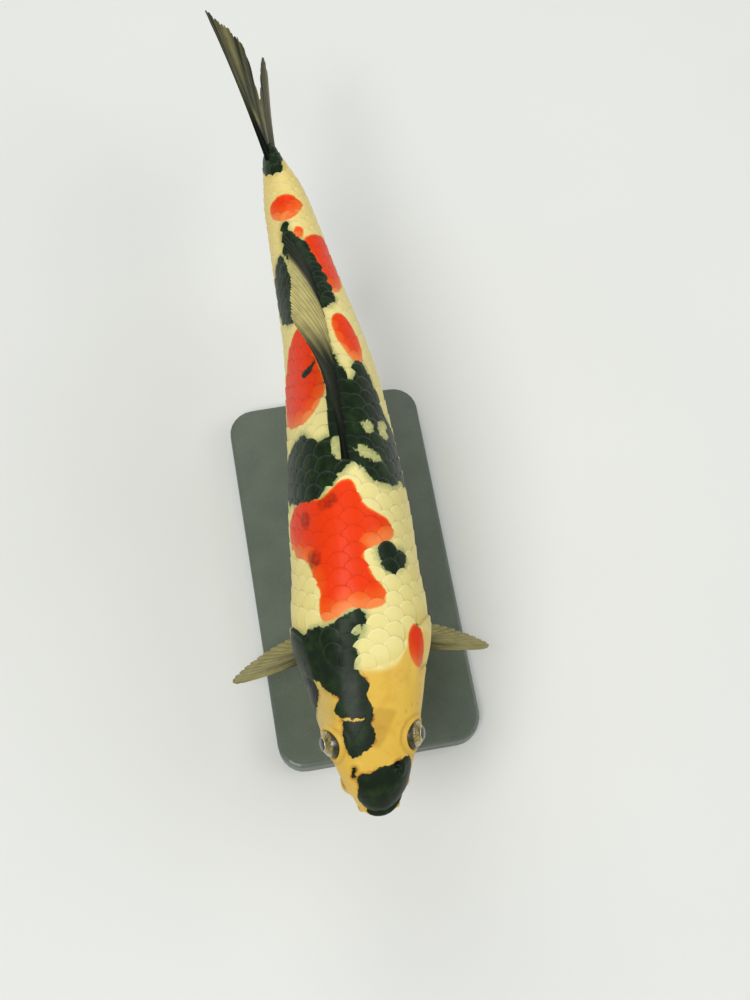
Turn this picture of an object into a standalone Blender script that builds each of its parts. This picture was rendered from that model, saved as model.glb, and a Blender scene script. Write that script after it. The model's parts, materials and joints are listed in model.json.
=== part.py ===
"""A still display model of a young koi carp, held level above a small stand by two rods.

The origin is the middle of the base's underside, +Z is up, the fish's head points to -Y and
its right side to -X. Lengths in this file are millimetres; MM turns them into metres when a
mesh is made. A station is the distance behind the snout along the fish, and an angle runs
round the body from its left side (0) over the back (90) to its right side (180).
"""

import math

import bmesh
import bpy
from mathutils import Vector

MM = 0.001
GAP = 0.3  # air kept between two neighbouring pieces

# The fish as a whole
STANDARD_LENGTH = 246.0  # snout to the end of the flesh
SNOUT_Y = -107.0
SWIM_HEIGHT = 80.0  # of the body's axis above the floor
SNOUT_START = 1.2  # station where the head's flesh starts, behind the lips
SNOUT_ROUNDING = 9.0  # length over which the snout rounds off
SNOUT_RINGS = (0.35, 1.3)  # distances behind the tip of the first rings of points
HEAD_END = 55.0
TRUNK_END = 192.0

# Side bend of the body: the axis's X at each station.
AXIS_X = ((0, -7.0), (45, -4.2), (95, -0.4), (135, 1.8), (165, 2.1), (200, -0.3), (232, -2.6), (246, -4.9))
# Outline from above, and from the side: back and belly above and below the axis.
HALF_WIDTH = ((0, 6.6), (8, 9.7), (20, 14.0), (33, 17.6), (46, 20.2), (56, 22.6), (65, 23.4), (80, 22.0),
              (100, 21.3), (122, 19.6), (150, 17.2), (172, 14.5), (196, 11.9), (220, 9.6), (234, 7.9),
              (246, 4.2))
BACK = ((0, -0.5), (8, 5.6), (20, 12.0), (33, 17.2), (46, 21.8), (60, 27.0), (80, 32.6), (100, 36.0),
        (115, 36.4), (140, 33.2), (170, 26.6), (196, 20.0), (215, 16.3), (232, 15.2), (246, 16.6))
BELLY = ((0, -9.6), (8, -14.4), (20, -18.0), (33, -21.6), (46, -25.0), (60, -28.8), (80, -32.6),
         (100, -34.6), (120, -34.8), (145, -32.6), (170, -27.8), (190, -22.2), (206, -17.6), (220, -15.3),
         (232, -15.0), (246, -16.4))
# Height of the widest level, and how square each half of the cross section is (2 is an ellipse).
LEVEL = ((0, -5.6), (20, -2.6), (45, -1.6), (80, -1.0), (130, -1.0), (200, 0.0), (246, 0.0))
BACK_POWER = ((0, 2.3), (24, 2.7), (48, 2.4), (75, 2.1), (246, 2.0))
BELLY_POWER = ((0, 2.2), (30, 2.35), (110, 2.45), (190, 2.15), (246, 2.0))

# Eyes
EYE_STATION = 23.6
EYE_DIAMETER = 10.6
EYE_OUT = 12.0  # of the eye's centre from the axis
EYE_UP = 4.6

# Gill covers: plates let into the side of the head
GILL_FRONT, GILL_REAR = 38.0, 65.0
GILL_TOP, GILL_BOTTOM = 36.0, -62.0  # angles
GILL_PROUD, GILL_DEEP = 0.5, 1.9

# Mouth
# "half" and "long" are the half axes of a lip's arc, whose middle is at station "back"
UPPER_LIP = {"half": 8.0, "back": 13.0, "long": 11.2, "level": -8.0, "drop": 2.5, "radius": 1.8,
             "sweep": 80.0}
LOWER_LIP = {"half": 6.8, "back": 13.0, "long": 9.6, "level": -11.8, "drop": 0.8, "radius": 1.6,
             "sweep": 68.0}
# Lower jaw from the side, as (station, height) along its top, and the same for its seat in the head
JAW_TOP = ((0.0, -11.3), (13.0, -12.7), (21.0, -14.3), (27.0, -24.0))
JAW_SEAT_TOP = ((0.0, -8.4), (13.0, -12.3), (21.2, -13.9), (27.4, -24.0))
JAW_BOTTOM = -34.0
BARBELS = {  # side angle on the upper lip, length, root radius
    "front": (38.0, 7.0, 0.75),
    "corner": (76.0, 13.0, 0.95),
}
BARBEL_TIP_RADIUS = 0.35
BARBEL_OUT = 0.7  # how far it leaves the lip sideways
BARBEL_DROP, BARBEL_SWEEP, BARBEL_SPREAD = -0.75, (0.35, 0.95), 0.12  # how it falls, trails and spreads

# Fins: stations of the base, and lengths of the rays from the front of the base to its rear
FIN_EDGE = 0.6  # thickness at the free edge
FIN_SUNK = 3.0  # how far a fin is started inside the body, which is then cut away
DORSAL_ROOT, ANAL_ROOT, CAUDAL_ROOT = 2.4, 2.0, 2.2  # thickness at the foot
DORSAL_BASE = (109.0, 187.0)
DORSAL_RAYS = ((0.0, 26.0), (0.07, 32.0), (0.2, 31.0), (0.5, 25.0), (0.8, 20.0), (1.0, 17.0))
DORSAL_RISE = (21.0, 14.0)  # degrees of the first and the last ray above the axis
# Lean of the tips, to the right side
DORSAL_LEAN = ((0.0, -4.0), (0.12, -8.5), (0.3, -12.0), (0.5, -10.5), (0.75, -7.5), (1.0, -6.0))
ANAL_BASE = (187.0, 207.0)
ANAL_RAYS = ((0.0, 25.0), (0.15, 29.0), (0.5, 24.0), (1.0, 15.0))
ANAL_RISE = (-50.0, -28.0)
ANAL_LEAN = 1.0
CAUDAL_RAYS = ((0.0, 54.0), (0.07, 60.0), (0.2, 59.0), (0.38, 53.0), (0.5, 34.0), (0.62, 50.0), (0.8, 65.0),
               (0.93, 69.0), (1.0, 63.0))
CAUDAL_RISE = (18.0, -8.0)
# Side turn of the rays, in degrees from +Y, from the upper edge to the lower one
CAUDAL_TURN = ((0.0, -14.5), (0.1, -13.5), (0.38, -3.5), (0.5, -1.2), (0.62, 1.5), (1.0, 3.0))
CAUDAL_STRAIGHT = 0.7  # share of that turn that a ray has at its foot; the rest it gains by bending
CAUDAL_LEAN = 2.0  # of its foot: the top to the right and the bottom to the left
PAIRED_FINS = {  # on the left side; first and last are the directions of those rays, bend that of tips
    "pelvic_fin": {
        "base": (118.0, 126.0), "angles": (-63.0, -78.0), "root": 1.8, "rays": 8, "steps": 6,
        "first": (0.28, 0.78, -0.62), "last": (-0.06, 0.90, -0.42), "bend": (0.0, 0.0, 2.0),
        "reach": ((0.0, 31.0), (0.2, 35.0), (0.6, 29.0), (1.0, 19.0)),
    },
    "pectoral_fin": {
        "base": (60.0, 65.5), "angles": (-44.0, -58.0), "root": 2.0, "rays": 9, "steps": 7,
        "first": (0.80, -0.13, -0.56), "last": (0.40, 0.28, -0.87), "bend": (0.0, 4.0, -1.5),
        "reach": ((0.0, 33.0), (0.18, 41.0), (0.4, 42.0), (0.7, 35.0), (1.0, 22.0)),
    },
}

# Stand
BASE_LENGTH, BASE_WIDTH, BASE_HEIGHT = 150.0, 78.0, 9.0
BASE_CORNER, BASE_BEVEL = 10.0, 1.2
ROD_DIAMETER = 5.0
COLLAR_RADIUS, COLLAR_HEIGHT, COLLAR_BEVEL = 5.5, 3.0, 0.8  # at a rod's foot
ROD_STATIONS = {"front": 78.0, "rear": 150.0}
ROD_ENTRY = 5.0  # how far a rod reaches into the belly

FINISHES = {  # base colour, roughness, metallic
    "ivory": ((0.80, 0.68, 0.36, 1.0), 0.35, 0.0),
    "red": ((0.72, 0.06, 0.01, 1.0), 0.35, 0.0),
    "black": ((0.02, 0.025, 0.018, 1.0), 0.35, 0.0),
    "fin": ((0.45, 0.42, 0.30, 1.0), 0.4, 0.0),
    "eye": ((0.015, 0.012, 0.01, 1.0), 0.08, 0.0),
    "lacquer": ((0.13, 0.15, 0.12, 1.0), 0.45, 0.0),
    "steel": ((0.55, 0.55, 0.54, 1.0), 0.3, 1.0),
}


def clear_scene():
    """Removes every object of the scene."""
    for obj in list(bpy.data.objects):
        bpy.data.objects.remove(obj, do_unlink=True)


def make_material(finish):
    """A Principled material with a finish's colour, roughness and metallic."""
    colour, roughness, metallic = FINISHES[finish]
    material = bpy.data.materials.new(finish)
    material.use_nodes = True
    shader = material.node_tree.nodes["Principled BSDF"]
    shader.inputs["Base Color"].default_value = colour
    shader.inputs["Roughness"].default_value = roughness
    shader.inputs["Metallic"].default_value = metallic
    return material


def slope(table, i):
    """Slope of a table at its point i, from its neighbours."""
    before, after = max(i - 1, 0), min(i + 1, len(table) - 1)
    return (table[after][1] - table[before][1]) / (table[after][0] - table[before][0])


def read(table, at):
    """Value of a smooth curve through a table's (place, value) points."""
    i = 0
    while i < len(table) - 2 and at > table[i + 1][0]:
        i += 1
    (x0, y0), (x1, y1) = table[i], table[i + 1]
    span = x1 - x0
    t = min(max((at - x0) / span, 0.0), 1.0)
    return (y0 * (1 + 2 * t) * (1 - t) ** 2 + slope(table, i) * span * t * (1 - t) ** 2
            + y1 * t * t * (3 - 2 * t) + slope(table, i + 1) * span * t * t * (t - 1))


def blend(first, last, t):
    """Value at t between two ends."""
    return first + (last - first) * t


def signed_power(value, power):
    """A power that keeps the value's sign."""
    return math.copysign(abs(value) ** power, value)


def turn(station):
    """Heading of the axis away from +Y at a station, in radians."""
    return math.atan2(read(AXIS_X, station + 1) - read(AXIS_X, station - 1), 2.0)


def from_axis(station, out, up):
    """A point at a station, a distance to the fish's left and a height above its axis."""
    angle = turn(station)
    return Vector((read(AXIS_X, station) + out * math.cos(angle),
                   SNOUT_Y + station - out * math.sin(angle), SWIM_HEIGHT + up))


def section(station, angle, lift=0.0):
    """Distance out and height up of the body's cross section, lifted along its normal."""
    ahead = (station - SNOUT_START) / SNOUT_ROUNDING
    rounding = math.sqrt(max(1 - (1 - ahead) ** 2, 0.0)) if ahead < 1 else 1.0
    level = read(LEVEL, station)
    width = read(HALF_WIDTH, station) * rounding
    rise = (read(BACK, station) - level) * rounding
    fall = (level - read(BELLY, station)) * rounding

    def at(degrees):
        c, s = math.cos(math.radians(degrees)), math.sin(math.radians(degrees))
        power = 2 / read(BACK_POWER if s > 0 else BELLY_POWER, station)
        return width * signed_power(c, power), level + (rise if s > 0 else fall) * signed_power(s, power)

    out, up = at(angle)
    if lift:
        (out0, up0), (out1, up1) = at(angle - 1), at(angle + 1)
        normal = Vector((up1 - up0, out0 - out1)).normalized()
        out, up = out + normal.x * lift, up + normal.y * lift
    return out, up


def on_body(station, angle, lift=0.0):
    """A point on the body's surface, or lifted off it."""
    return from_axis(station, *section(station, angle, lift))


def stations(first, last, step):
    """Evenly spaced stations from first to last, about a step apart."""
    count = max(round((last - first) / step), 1)
    return [blend(first, last, i / count) for i in range(count + 1)]


def new_object(name, bm, finish):
    """Turns a bmesh in millimetres into an object with outward faces."""
    bmesh.ops.scale(bm, vec=(MM, MM, MM), verts=bm.verts)
    bmesh.ops.recalc_face_normals(bm, faces=bm.faces)
    mesh = bpy.data.meshes.new(name)
    bm.to_mesh(mesh)
    bm.free()
    mesh.shade_smooth()
    mesh.set_sharp_from_angle(angle=math.radians(40))
    mesh.materials.append(bpy.data.materials[finish])
    obj = bpy.data.objects.new(name, mesh)
    bpy.context.scene.collection.objects.link(obj)
    return obj


def loft(name, rings, finish):
    """A closed solid through rings of points; a ring of one point is a tip."""
    bm = bmesh.new()
    loops = [[bm.verts.new(point) for point in ring] for ring in rings]
    for low, high in zip(loops, loops[1:]):
        count = max(len(low), len(high))
        for i in range(count):
            j = (i + 1) % count
            if len(low) == 1:
                bm.faces.new((low[0], high[i], high[j]))
            elif len(high) == 1:
                bm.faces.new((low[i], low[j], high[0]))
            else:
                bm.faces.new((low[i], low[j], high[j], high[i]))
    for loop in (loops[0], loops[-1]):
        if len(loop) > 1:
            bm.faces.new(loop)
    return new_object(name, bm, finish)


def sheet(name, inner, outer, finish):
    """A closed solid between two grids of points of the same size."""
    bm = bmesh.new()
    rows, columns = len(inner), len(inner[0])
    sides = [[[bm.verts.new(point) for point in row] for row in grid] for grid in (inner, outer)]
    for grid in sides:
        for i in range(rows - 1):
            for j in range(columns - 1):
                bm.faces.new((grid[i][j], grid[i + 1][j], grid[i + 1][j + 1], grid[i][j + 1]))
    rim = [(i, 0) for i in range(rows)] + [(rows - 1, j) for j in range(1, columns)]
    rim += [(i, columns - 1) for i in range(rows - 2, -1, -1)] + [(0, j) for j in range(columns - 2, 0, -1)]
    for (i, j), (k, m) in zip(rim, rim[1:] + rim[:1]):
        bm.faces.new((sides[0][i][j], sides[0][k][m], sides[1][k][m], sides[1][i][j]))
    return new_object(name, bm, finish)


def tube(name, path, radii, finish, sides=8):
    """A closed round bar along a path of points, with a radius at each."""
    rings = []
    for i, (point, radius) in enumerate(zip(path, radii)):
        along = (path[min(i + 1, len(path) - 1)] - path[max(i - 1, 0)]).normalized()
        across = along.cross(Vector((0, 0, 1))).normalized()
        over = across.cross(along)
        rings.append([point + across * radius * math.cos(2 * math.pi * k / sides)
                      + over * radius * math.sin(2 * math.pi * k / sides) for k in range(sides)])
    return loft(name, rings, finish)


def as_cutter(obj):
    """Marks an object as a guide that only cuts others."""
    obj.hide_render = True
    obj.display_type = "WIRE"
    return obj


def cut(obj, cutter, operation="DIFFERENCE"):
    """Adds a Boolean of a cutter to an object."""
    modifier = obj.modifiers.new(cutter.name, "BOOLEAN")
    modifier.operation = operation
    modifier.solver = "EXACT"
    modifier.object = cutter


def body_length(name, first, last, step, sides, finish, lift=0.0):
    """One length of the body between two stations."""
    places = stations(first, last, step)
    if first <= SNOUT_START:
        places[0:1] = [first + ahead for ahead in SNOUT_RINGS]
    rings = [[on_body(s, 360.0 * k / sides + 90.0, lift) for k in range(sides)] for s in places]
    if first <= SNOUT_START:
        rings.insert(0, [from_axis(first - lift, 0.0, read(LEVEL, first))])
    return loft(name, rings, finish)


def lip_path(lip, steps):
    """Points of a lip's centre line round the snout, from its right corner to its left one."""
    points = []
    for i in range(steps + 1):
        angle = math.radians(blend(-lip["sweep"], lip["sweep"], i / steps))
        points.append(from_axis(lip["back"] - lip["long"] * math.cos(angle), lip["half"] * math.sin(angle),
                                lip["level"] - lip["drop"] * (1 - math.cos(angle))))
    return points


def lip_radii(lip, steps, extra=0.0):
    """Radius along a lip, thinner towards its corners."""
    return [lip["radius"] * (1 - 0.45 * (2 * i / steps - 1) ** 2) + extra for i in range(steps + 1)]


def make_lip(name, lip, finish, extra=0.0):
    """A lip as a bent bar, or with extra radius as the cutter that clears it."""
    steps = 12
    return tube(name, lip_path(lip, steps), lip_radii(lip, steps, extra), finish)


def make_jaw_prism(name, top):
    """A block under a side outline, which cuts the chin free."""
    half = 26.0
    outline = list(top) + [(top[-1][0], JAW_BOTTOM), (top[0][0], JAW_BOTTOM)]
    rings = [[from_axis(s, side * half, up) for s, up in outline] for side in (-1, 1)]
    return as_cutter(loft(name, rings, "black"))


def gill_grid(side, lift, grow):
    """Grid of points over one gill cover, lifted off the body and grown at its rim."""
    rows, columns = 6, 9
    grid = []
    for i in range(rows + 1):
        row = []
        for j in range(columns + 1):
            across = 2 * j / columns - 1
            angle = blend(GILL_BOTTOM - grow * 2.8, GILL_TOP + grow * 2.8, j / columns)
            front = GILL_FRONT + 4.0 * across ** 2 - grow
            rear = GILL_REAR - 9.0 * across ** 2 - 2.5 * max(-across, 0.0) + grow
            station = blend(front, rear, i / rows)
            row.append(on_body(station, angle if side > 0 else 180.0 - angle, lift))
        grid.append(row)
    return grid


def make_gill_cover(name, side, parents):
    """One gill cover, and the cut that clears its seat in the head and the trunk."""
    seat = as_cutter(sheet(name + "_seat", gill_grid(side, -GILL_DEEP - GAP, GAP + 0.05),
                           gill_grid(side, 4.0, GAP + 0.05), "black"))
    for parent in parents:
        cut(parent, seat)
    return sheet(name, gill_grid(side, -GILL_DEEP, 0.0), gill_grid(side, GILL_PROUD, 0.0), "ivory")


def make_ball(name, centre, radius, finish, segments=16, rings=10):
    """A ball with its poles to the fish's sides."""
    bm = bmesh.new()
    bmesh.ops.create_uvsphere(bm, u_segments=segments, v_segments=rings, radius=radius)
    for vertex in bm.verts:
        vertex.co = centre + Vector((vertex.co.z, vertex.co.y, -vertex.co.x))
    return new_object(name, bm, finish)


def make_eye(name, side, head):
    """One eyeball, and its socket in the head."""
    centre = from_axis(EYE_STATION, side * EYE_OUT, EYE_UP)
    cut(head, as_cutter(make_ball(name + "_socket", centre, EYE_DIAMETER / 2 + GAP, "black")))
    return make_ball(name, centre, EYE_DIAMETER / 2, "eye")


def make_barbel(name, side, kind):
    """One barbel, from just off the upper lip out, down and back to a thin tip."""
    angle, length, root = BARBELS[kind]
    steps = 7
    lip_angle = math.radians(angle)
    start = from_axis(UPPER_LIP["back"] - UPPER_LIP["long"] * math.cos(lip_angle),
                      side * UPPER_LIP["half"] * math.sin(lip_angle),
                      UPPER_LIP["level"] - UPPER_LIP["drop"] * (1 - math.cos(lip_angle)))
    out = Vector((side * BARBEL_OUT * math.sin(lip_angle), -0.55 * math.cos(lip_angle), -0.9)).normalized()
    path = [start + out * (UPPER_LIP["radius"] + GAP)]
    for i in range(1, steps + 1):
        t = i / steps
        fall = Vector((side * BARBEL_SPREAD * (1 - t), blend(*BARBEL_SWEEP, t), BARBEL_DROP)).normalized()
        path.append(path[-1] + (out * (1 - t) ** 2 + fall).normalized() * length / steps)
    radii = [blend(root, BARBEL_TIP_RADIUS, i / steps) for i in range(steps + 1)]
    return tube(name, path, radii, "ivory", sides=6)


def direction(rise, turned):
    """Unit vector to the tail, raised and turned to the fish's left by angles in degrees."""
    rise, turned = math.radians(rise), math.radians(turned)
    return Vector((math.cos(rise) * math.sin(turned), math.cos(rise) * math.cos(turned), math.sin(rise)))


def make_fin(name, base, ray, reach, bend, root, rays, steps, sunk=0.0):
    """A fin as a thin sheet of rays.

    base(v) is the foot of the ray at v, from 0 at the front to 1 at the rear, and ray(v) its
    direction. bend(v) is how far its tip is bent aside. sunk starts it below its foot.
    """

    def at(u, v):
        length = read(reach, v)
        return base(v) + ray(v) * (length * u - sunk * (1 - u)) + bend(v) * u * u

    inner, outer = [], []
    for i in range(rays + 1):
        v = i / rays
        low, high = [], []
        for j in range(steps + 1):
            u = j / steps
            du = (at(min(u + 0.02, 1), v) - at(max(u - 0.02, 0), v)).normalized()
            dv = (at(u, min(v + 0.02, 1)) - at(u, max(v - 0.02, 0))).normalized()
            half = du.cross(dv).normalized() * blend(FIN_EDGE, root, (1 - u) ** 2) / 2
            low.append(at(u, v) - half)
            high.append(at(u, v) + half)
        inner.append(low)
        outer.append(high)
    return sheet(name, inner, outer, "fin")


def make_dorsal_fin(clearance):
    """The folded fin along the back."""
    fin = make_fin("dorsal_fin", lambda v: on_body(blend(*DORSAL_BASE, v), 90.0),
                   lambda v: direction(blend(*DORSAL_RISE, v), math.degrees(turn(blend(*DORSAL_BASE, v)))),
                   DORSAL_RAYS, lambda v: Vector((read(DORSAL_LEAN, v), 0, 0)),
                   DORSAL_ROOT, 18, 4, FIN_SUNK)
    cut(fin, clearance)


def make_anal_fin(clearance):
    """The single fin under the tail."""
    fin = make_fin("anal_fin", lambda v: on_body(blend(*ANAL_BASE, v), -90.0),
                   lambda v: direction(blend(*ANAL_RISE, v), math.degrees(turn(blend(*ANAL_BASE, v)))),
                   ANAL_RAYS, lambda v: Vector((ANAL_LEAN, 0, 0)), ANAL_ROOT, 9, 6, FIN_SUNK)
    cut(fin, clearance)


def make_caudal_fin():
    """The forked tail fin, its upper lobe swung to the right and its lower one to the left."""
    start = STANDARD_LENGTH + GAP
    heading = math.degrees(turn(start))
    top, bottom = 0.96 * read(BACK, STANDARD_LENGTH), 0.96 * read(BELLY, STANDARD_LENGTH)

    def base(v):
        return from_axis(start, blend(-CAUDAL_LEAN, CAUDAL_LEAN, v), blend(top, bottom, v))

    def ray(v):
        return direction(blend(*CAUDAL_RISE, v), blend(heading, read(CAUDAL_TURN, v), CAUDAL_STRAIGHT))

    def bend(v):
        gained = math.radians(read(CAUDAL_TURN, v) - heading) * (1 - CAUDAL_STRAIGHT)
        return Vector((read(CAUDAL_RAYS, v) * gained, 0, 0))

    make_fin("caudal_fin", base, ray, CAUDAL_RAYS, bend, CAUDAL_ROOT, 20, 8)


def make_paired_fin(kind, side, word, clearance):
    """One belly or breast fin of a side."""
    form = PAIRED_FINS[kind]
    first, last, bend = (Vector((side * x, y, z)) for x, y, z in (form["first"], form["last"], form["bend"]))

    def base(v):
        angle = blend(*form["angles"], v)
        return on_body(blend(*form["base"], v), angle if side > 0 else 180.0 - angle)

    fin = make_fin(f"{kind}_{word}", base, lambda v: first.lerp(last, v).normalized(), form["reach"],
                   lambda v: bend, form["root"], form["rays"], form["steps"], FIN_SUNK)
    cut(fin, clearance)


def make_base():
    """The flat base, a rounded plate with broken edges."""
    bm = bmesh.new()
    bmesh.ops.create_cube(bm, size=1.0)
    bmesh.ops.scale(bm, vec=(BASE_WIDTH, BASE_LENGTH, BASE_HEIGHT), verts=bm.verts)
    bmesh.ops.translate(bm, vec=(0, 0, BASE_HEIGHT / 2), verts=bm.verts)
    upright = [edge for edge in bm.edges if abs(edge.verts[0].co.z - edge.verts[1].co.z) > 1.0]
    bmesh.ops.bevel(bm, geom=upright, offset=BASE_CORNER, segments=6, affect="EDGES", profile=0.5)
    rim = [edge for edge in bm.edges if min(vertex.co.z for vertex in edge.verts) > BASE_HEIGHT - 0.1]
    bmesh.ops.bevel(bm, geom=rim, offset=BASE_BEVEL, segments=2, affect="EDGES", profile=0.5)
    return new_object("stand_base", bm, "lacquer")


def turned(name, centre, profile, finish, sides=16):
    """A solid turned round an upright axis, from (radius, height) points."""
    rings = [[Vector((centre.x + radius * math.cos(2 * math.pi * k / sides),
                      centre.y + radius * math.sin(2 * math.pi * k / sides), height)) for k in range(sides)]
             for radius, height in profile]
    return loft(name, rings, finish)


def make_rod(word, station, trunk):
    """One upright rod with a collar at its foot, and its socket in the belly."""
    centre = from_axis(station, 0.0, 0.0)
    foot = BASE_HEIGHT + GAP
    top = SWIM_HEIGHT + read(BELLY, station) + ROD_ENTRY
    radius = ROD_DIAMETER / 2
    socket = ((radius + GAP, top - 20.0), (radius + GAP, top + GAP))
    cut(trunk, as_cutter(turned(f"rod_socket_{word}", centre, socket, "black")))
    profile = ((COLLAR_RADIUS, foot), (COLLAR_RADIUS, foot + COLLAR_HEIGHT - COLLAR_BEVEL),
               (COLLAR_RADIUS - COLLAR_BEVEL, foot + COLLAR_HEIGHT), (radius, foot + COLLAR_HEIGHT),
               (radius, top))
    turned(f"stand_rod_{word}", centre, profile, "steel")


def main():
    """Builds every piece of the model."""
    clear_scene()
    for finish in FINISHES:
        make_material(finish)
    half = GAP / 2
    head = body_length("head", SNOUT_START, HEAD_END - half, 4.2, 32, "ivory")
    trunk = body_length("trunk", HEAD_END + half, TRUNK_END - half, 7.0, 32, "red")
    body_length("tail", TRUNK_END + half, STANDARD_LENGTH, 6.0, 28, "black")
    clearance = body_length("body_clearance", SNOUT_START, STANDARD_LENGTH, 5.0, 40, "black", lift=GAP)
    as_cutter(clearance)

    jaw = body_length("lower_jaw", SNOUT_START, 34.0, 4.2, 32, "black")
    cut(jaw, make_jaw_prism("jaw_outline", JAW_TOP), "INTERSECT")
    cut(jaw, as_cutter(make_lip("lower_lip", LOWER_LIP, "black")), "UNION")
    cut(head, make_jaw_prism("jaw_seat", JAW_SEAT_TOP))
    cut(head, as_cutter(make_lip("lower_lip_seat", LOWER_LIP, "black", GAP)))
    cut(head, as_cutter(make_lip("upper_lip_seat", UPPER_LIP, "black", GAP)))
    make_lip("upper_lip", UPPER_LIP, "ivory")

    for side, word in ((-1, "right"), (1, "left")):
        make_eye(f"eye_{word}", side, head)
        make_gill_cover(f"gill_cover_{word}", side, (head, trunk))
        make_barbel(f"barbel_front_{word}", side, "front")
        make_barbel(f"barbel_corner_{word}", side, "corner")
        for kind in PAIRED_FINS:
            make_paired_fin(kind, side, word, clearance)

    make_dorsal_fin(clearance)
    make_anal_fin(clearance)
    make_caudal_fin()
    make_base()
    for word, station in ROD_STATIONS.items():
        make_rod(word, station, trunk)


main()
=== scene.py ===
"""Looks of a koi carp: one skin under a coat of scales, rayed fins, eyes, and a small display stand.

Lengths are in millimetres from the middle of the stand's underside until a mesh is made.
A place on the fish is a station, its distance behind the snout, and an arc, its distance
round the body from the middle of the back, positive on the fish's left side.
"""

from __future__ import annotations

import json
import logging
import math
from dataclasses import dataclass
from enum import Enum
from typing import Callable

import bpy
import numpy as np
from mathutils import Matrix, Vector

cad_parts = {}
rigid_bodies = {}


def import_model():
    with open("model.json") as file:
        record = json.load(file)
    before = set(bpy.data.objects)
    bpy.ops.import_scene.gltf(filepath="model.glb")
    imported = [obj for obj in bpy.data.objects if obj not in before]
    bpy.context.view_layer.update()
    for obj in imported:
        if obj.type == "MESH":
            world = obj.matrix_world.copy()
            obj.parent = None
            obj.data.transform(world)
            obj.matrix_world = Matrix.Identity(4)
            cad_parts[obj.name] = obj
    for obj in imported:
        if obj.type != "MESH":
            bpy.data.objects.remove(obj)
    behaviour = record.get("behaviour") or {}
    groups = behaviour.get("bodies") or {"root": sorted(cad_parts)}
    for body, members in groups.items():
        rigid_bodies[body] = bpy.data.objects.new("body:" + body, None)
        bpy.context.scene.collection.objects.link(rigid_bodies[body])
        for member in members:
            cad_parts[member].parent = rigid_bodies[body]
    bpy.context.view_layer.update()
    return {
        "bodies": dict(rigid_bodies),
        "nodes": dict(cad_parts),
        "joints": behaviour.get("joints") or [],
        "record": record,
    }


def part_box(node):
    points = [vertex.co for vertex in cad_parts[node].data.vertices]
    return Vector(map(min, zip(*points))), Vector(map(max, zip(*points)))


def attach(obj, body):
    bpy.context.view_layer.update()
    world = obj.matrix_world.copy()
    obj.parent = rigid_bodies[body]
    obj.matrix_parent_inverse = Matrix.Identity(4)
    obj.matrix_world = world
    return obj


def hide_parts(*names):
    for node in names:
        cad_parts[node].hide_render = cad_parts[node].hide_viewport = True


LOG = logging.getLogger("koi")
MM = 0.001
FAR = 1e6
BODY = "root"

Array = np.ndarray
Table = tuple[tuple[float, float], ...]
Colour = tuple[float, float, float, float]
Faces = list[list[int]]
Piece = bpy.types.Object
Material = bpy.types.Material
Node = bpy.types.Node
Socket = bpy.types.NodeSocket


class Side(Enum):
    """The fish's own sides, with the sign of X on each."""

    RIGHT = -1
    LEFT = 1

    @property
    def word(self) -> str:
        """The side's name in lower case, as the frame's nodes use it."""
        return self.name.lower()


class Slot(Enum):
    """Material slots of the part's record."""

    SKIN = "skin"
    FIN = "fin"
    EYE = "eye"


# -------------------------- numbers


def read(table: Table, at: Array | float) -> Array:
    """Reads a table along smooth curves through its values.

    Args:
        table: Pairs of place and value, in order of place.
        at: Places to read it at.

    Returns:
        The values, of the shape of at.
    """
    places, values = np.array(table, float).T
    slopes = np.empty_like(values)
    slopes[1:-1] = (values[2:] - values[:-2]) / (places[2:] - places[:-2])
    slopes[0] = (values[1] - values[0]) / (places[1] - places[0])
    slopes[-1] = (values[-1] - values[-2]) / (places[-1] - places[-2])
    at = np.asarray(at, float)
    i = np.clip(np.searchsorted(places, at, side="left") - 1, 0, len(places) - 2)
    span = places[i + 1] - places[i]
    t = np.clip((at - places[i]) / span, 0.0, 1.0)
    return (values[i] * (1 + 2 * t) * (1 - t) ** 2 + slopes[i] * span * t * (1 - t) ** 2
            + values[i + 1] * t * t * (3 - 2 * t) + slopes[i + 1] * span * t * t * (t - 1))


def rise(low: float, high: float, value: Array) -> Array:
    """Smooth step from 0 at low to 1 at high."""
    t = np.clip((value - low) / (high - low), 0.0, 1.0)
    return t * t * (3 - 2 * t)


def bell(value: Array, width: float) -> Array:
    """Bell curve, 1 at zero and near 0 past twice its width."""
    return np.exp(-((value / width) ** 2))


def soft_min(a: Array, b: Array, blend: float) -> Array:
    """The lesser of two distances, rounded over a blend length."""
    h = np.clip(0.5 + 0.5 * (b - a) / blend, 0.0, 1.0)
    return b * (1 - h) + a * h - blend * h * (1 - h)


def soft_max(a: Array, b: Array, blend: float) -> Array:
    """The greater of two distances, rounded over a blend length."""
    return -soft_min(-a, -b, blend)


def unit(vectors: Array) -> Array:
    """Vectors at length one."""
    return vectors / np.maximum(np.linalg.norm(vectors, axis=-1, keepdims=True), 1e-9)


def lerp(first: float, last: float, t: Array) -> Array:
    """Values between two numbers."""
    return first + (last - first) * t


def from_line(points: Array, path: Array, radii: Array) -> Array:
    """Distance of points from a round tube along a path.

    Args:
        points: Places, (..., 3).
        path: Corners of the path, (n, 3).
        radii: The tube's radius at each corner.

    Returns:
        Distances, below zero inside the tube.
    """
    nearest = np.full(points.shape[:-1], FAR)
    for a, b, ra, rb in zip(path[:-1], path[1:], radii[:-1], radii[1:]):
        along = b - a
        t = np.clip((points - a) @ along / (along @ along), 0.0, 1.0)
        gap = np.linalg.norm(points - a - t[..., None] * along, axis=-1) - (ra + (rb - ra) * t)
        nearest = np.minimum(nearest, gap)
    return nearest


# -------------------------- the body's form


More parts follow.
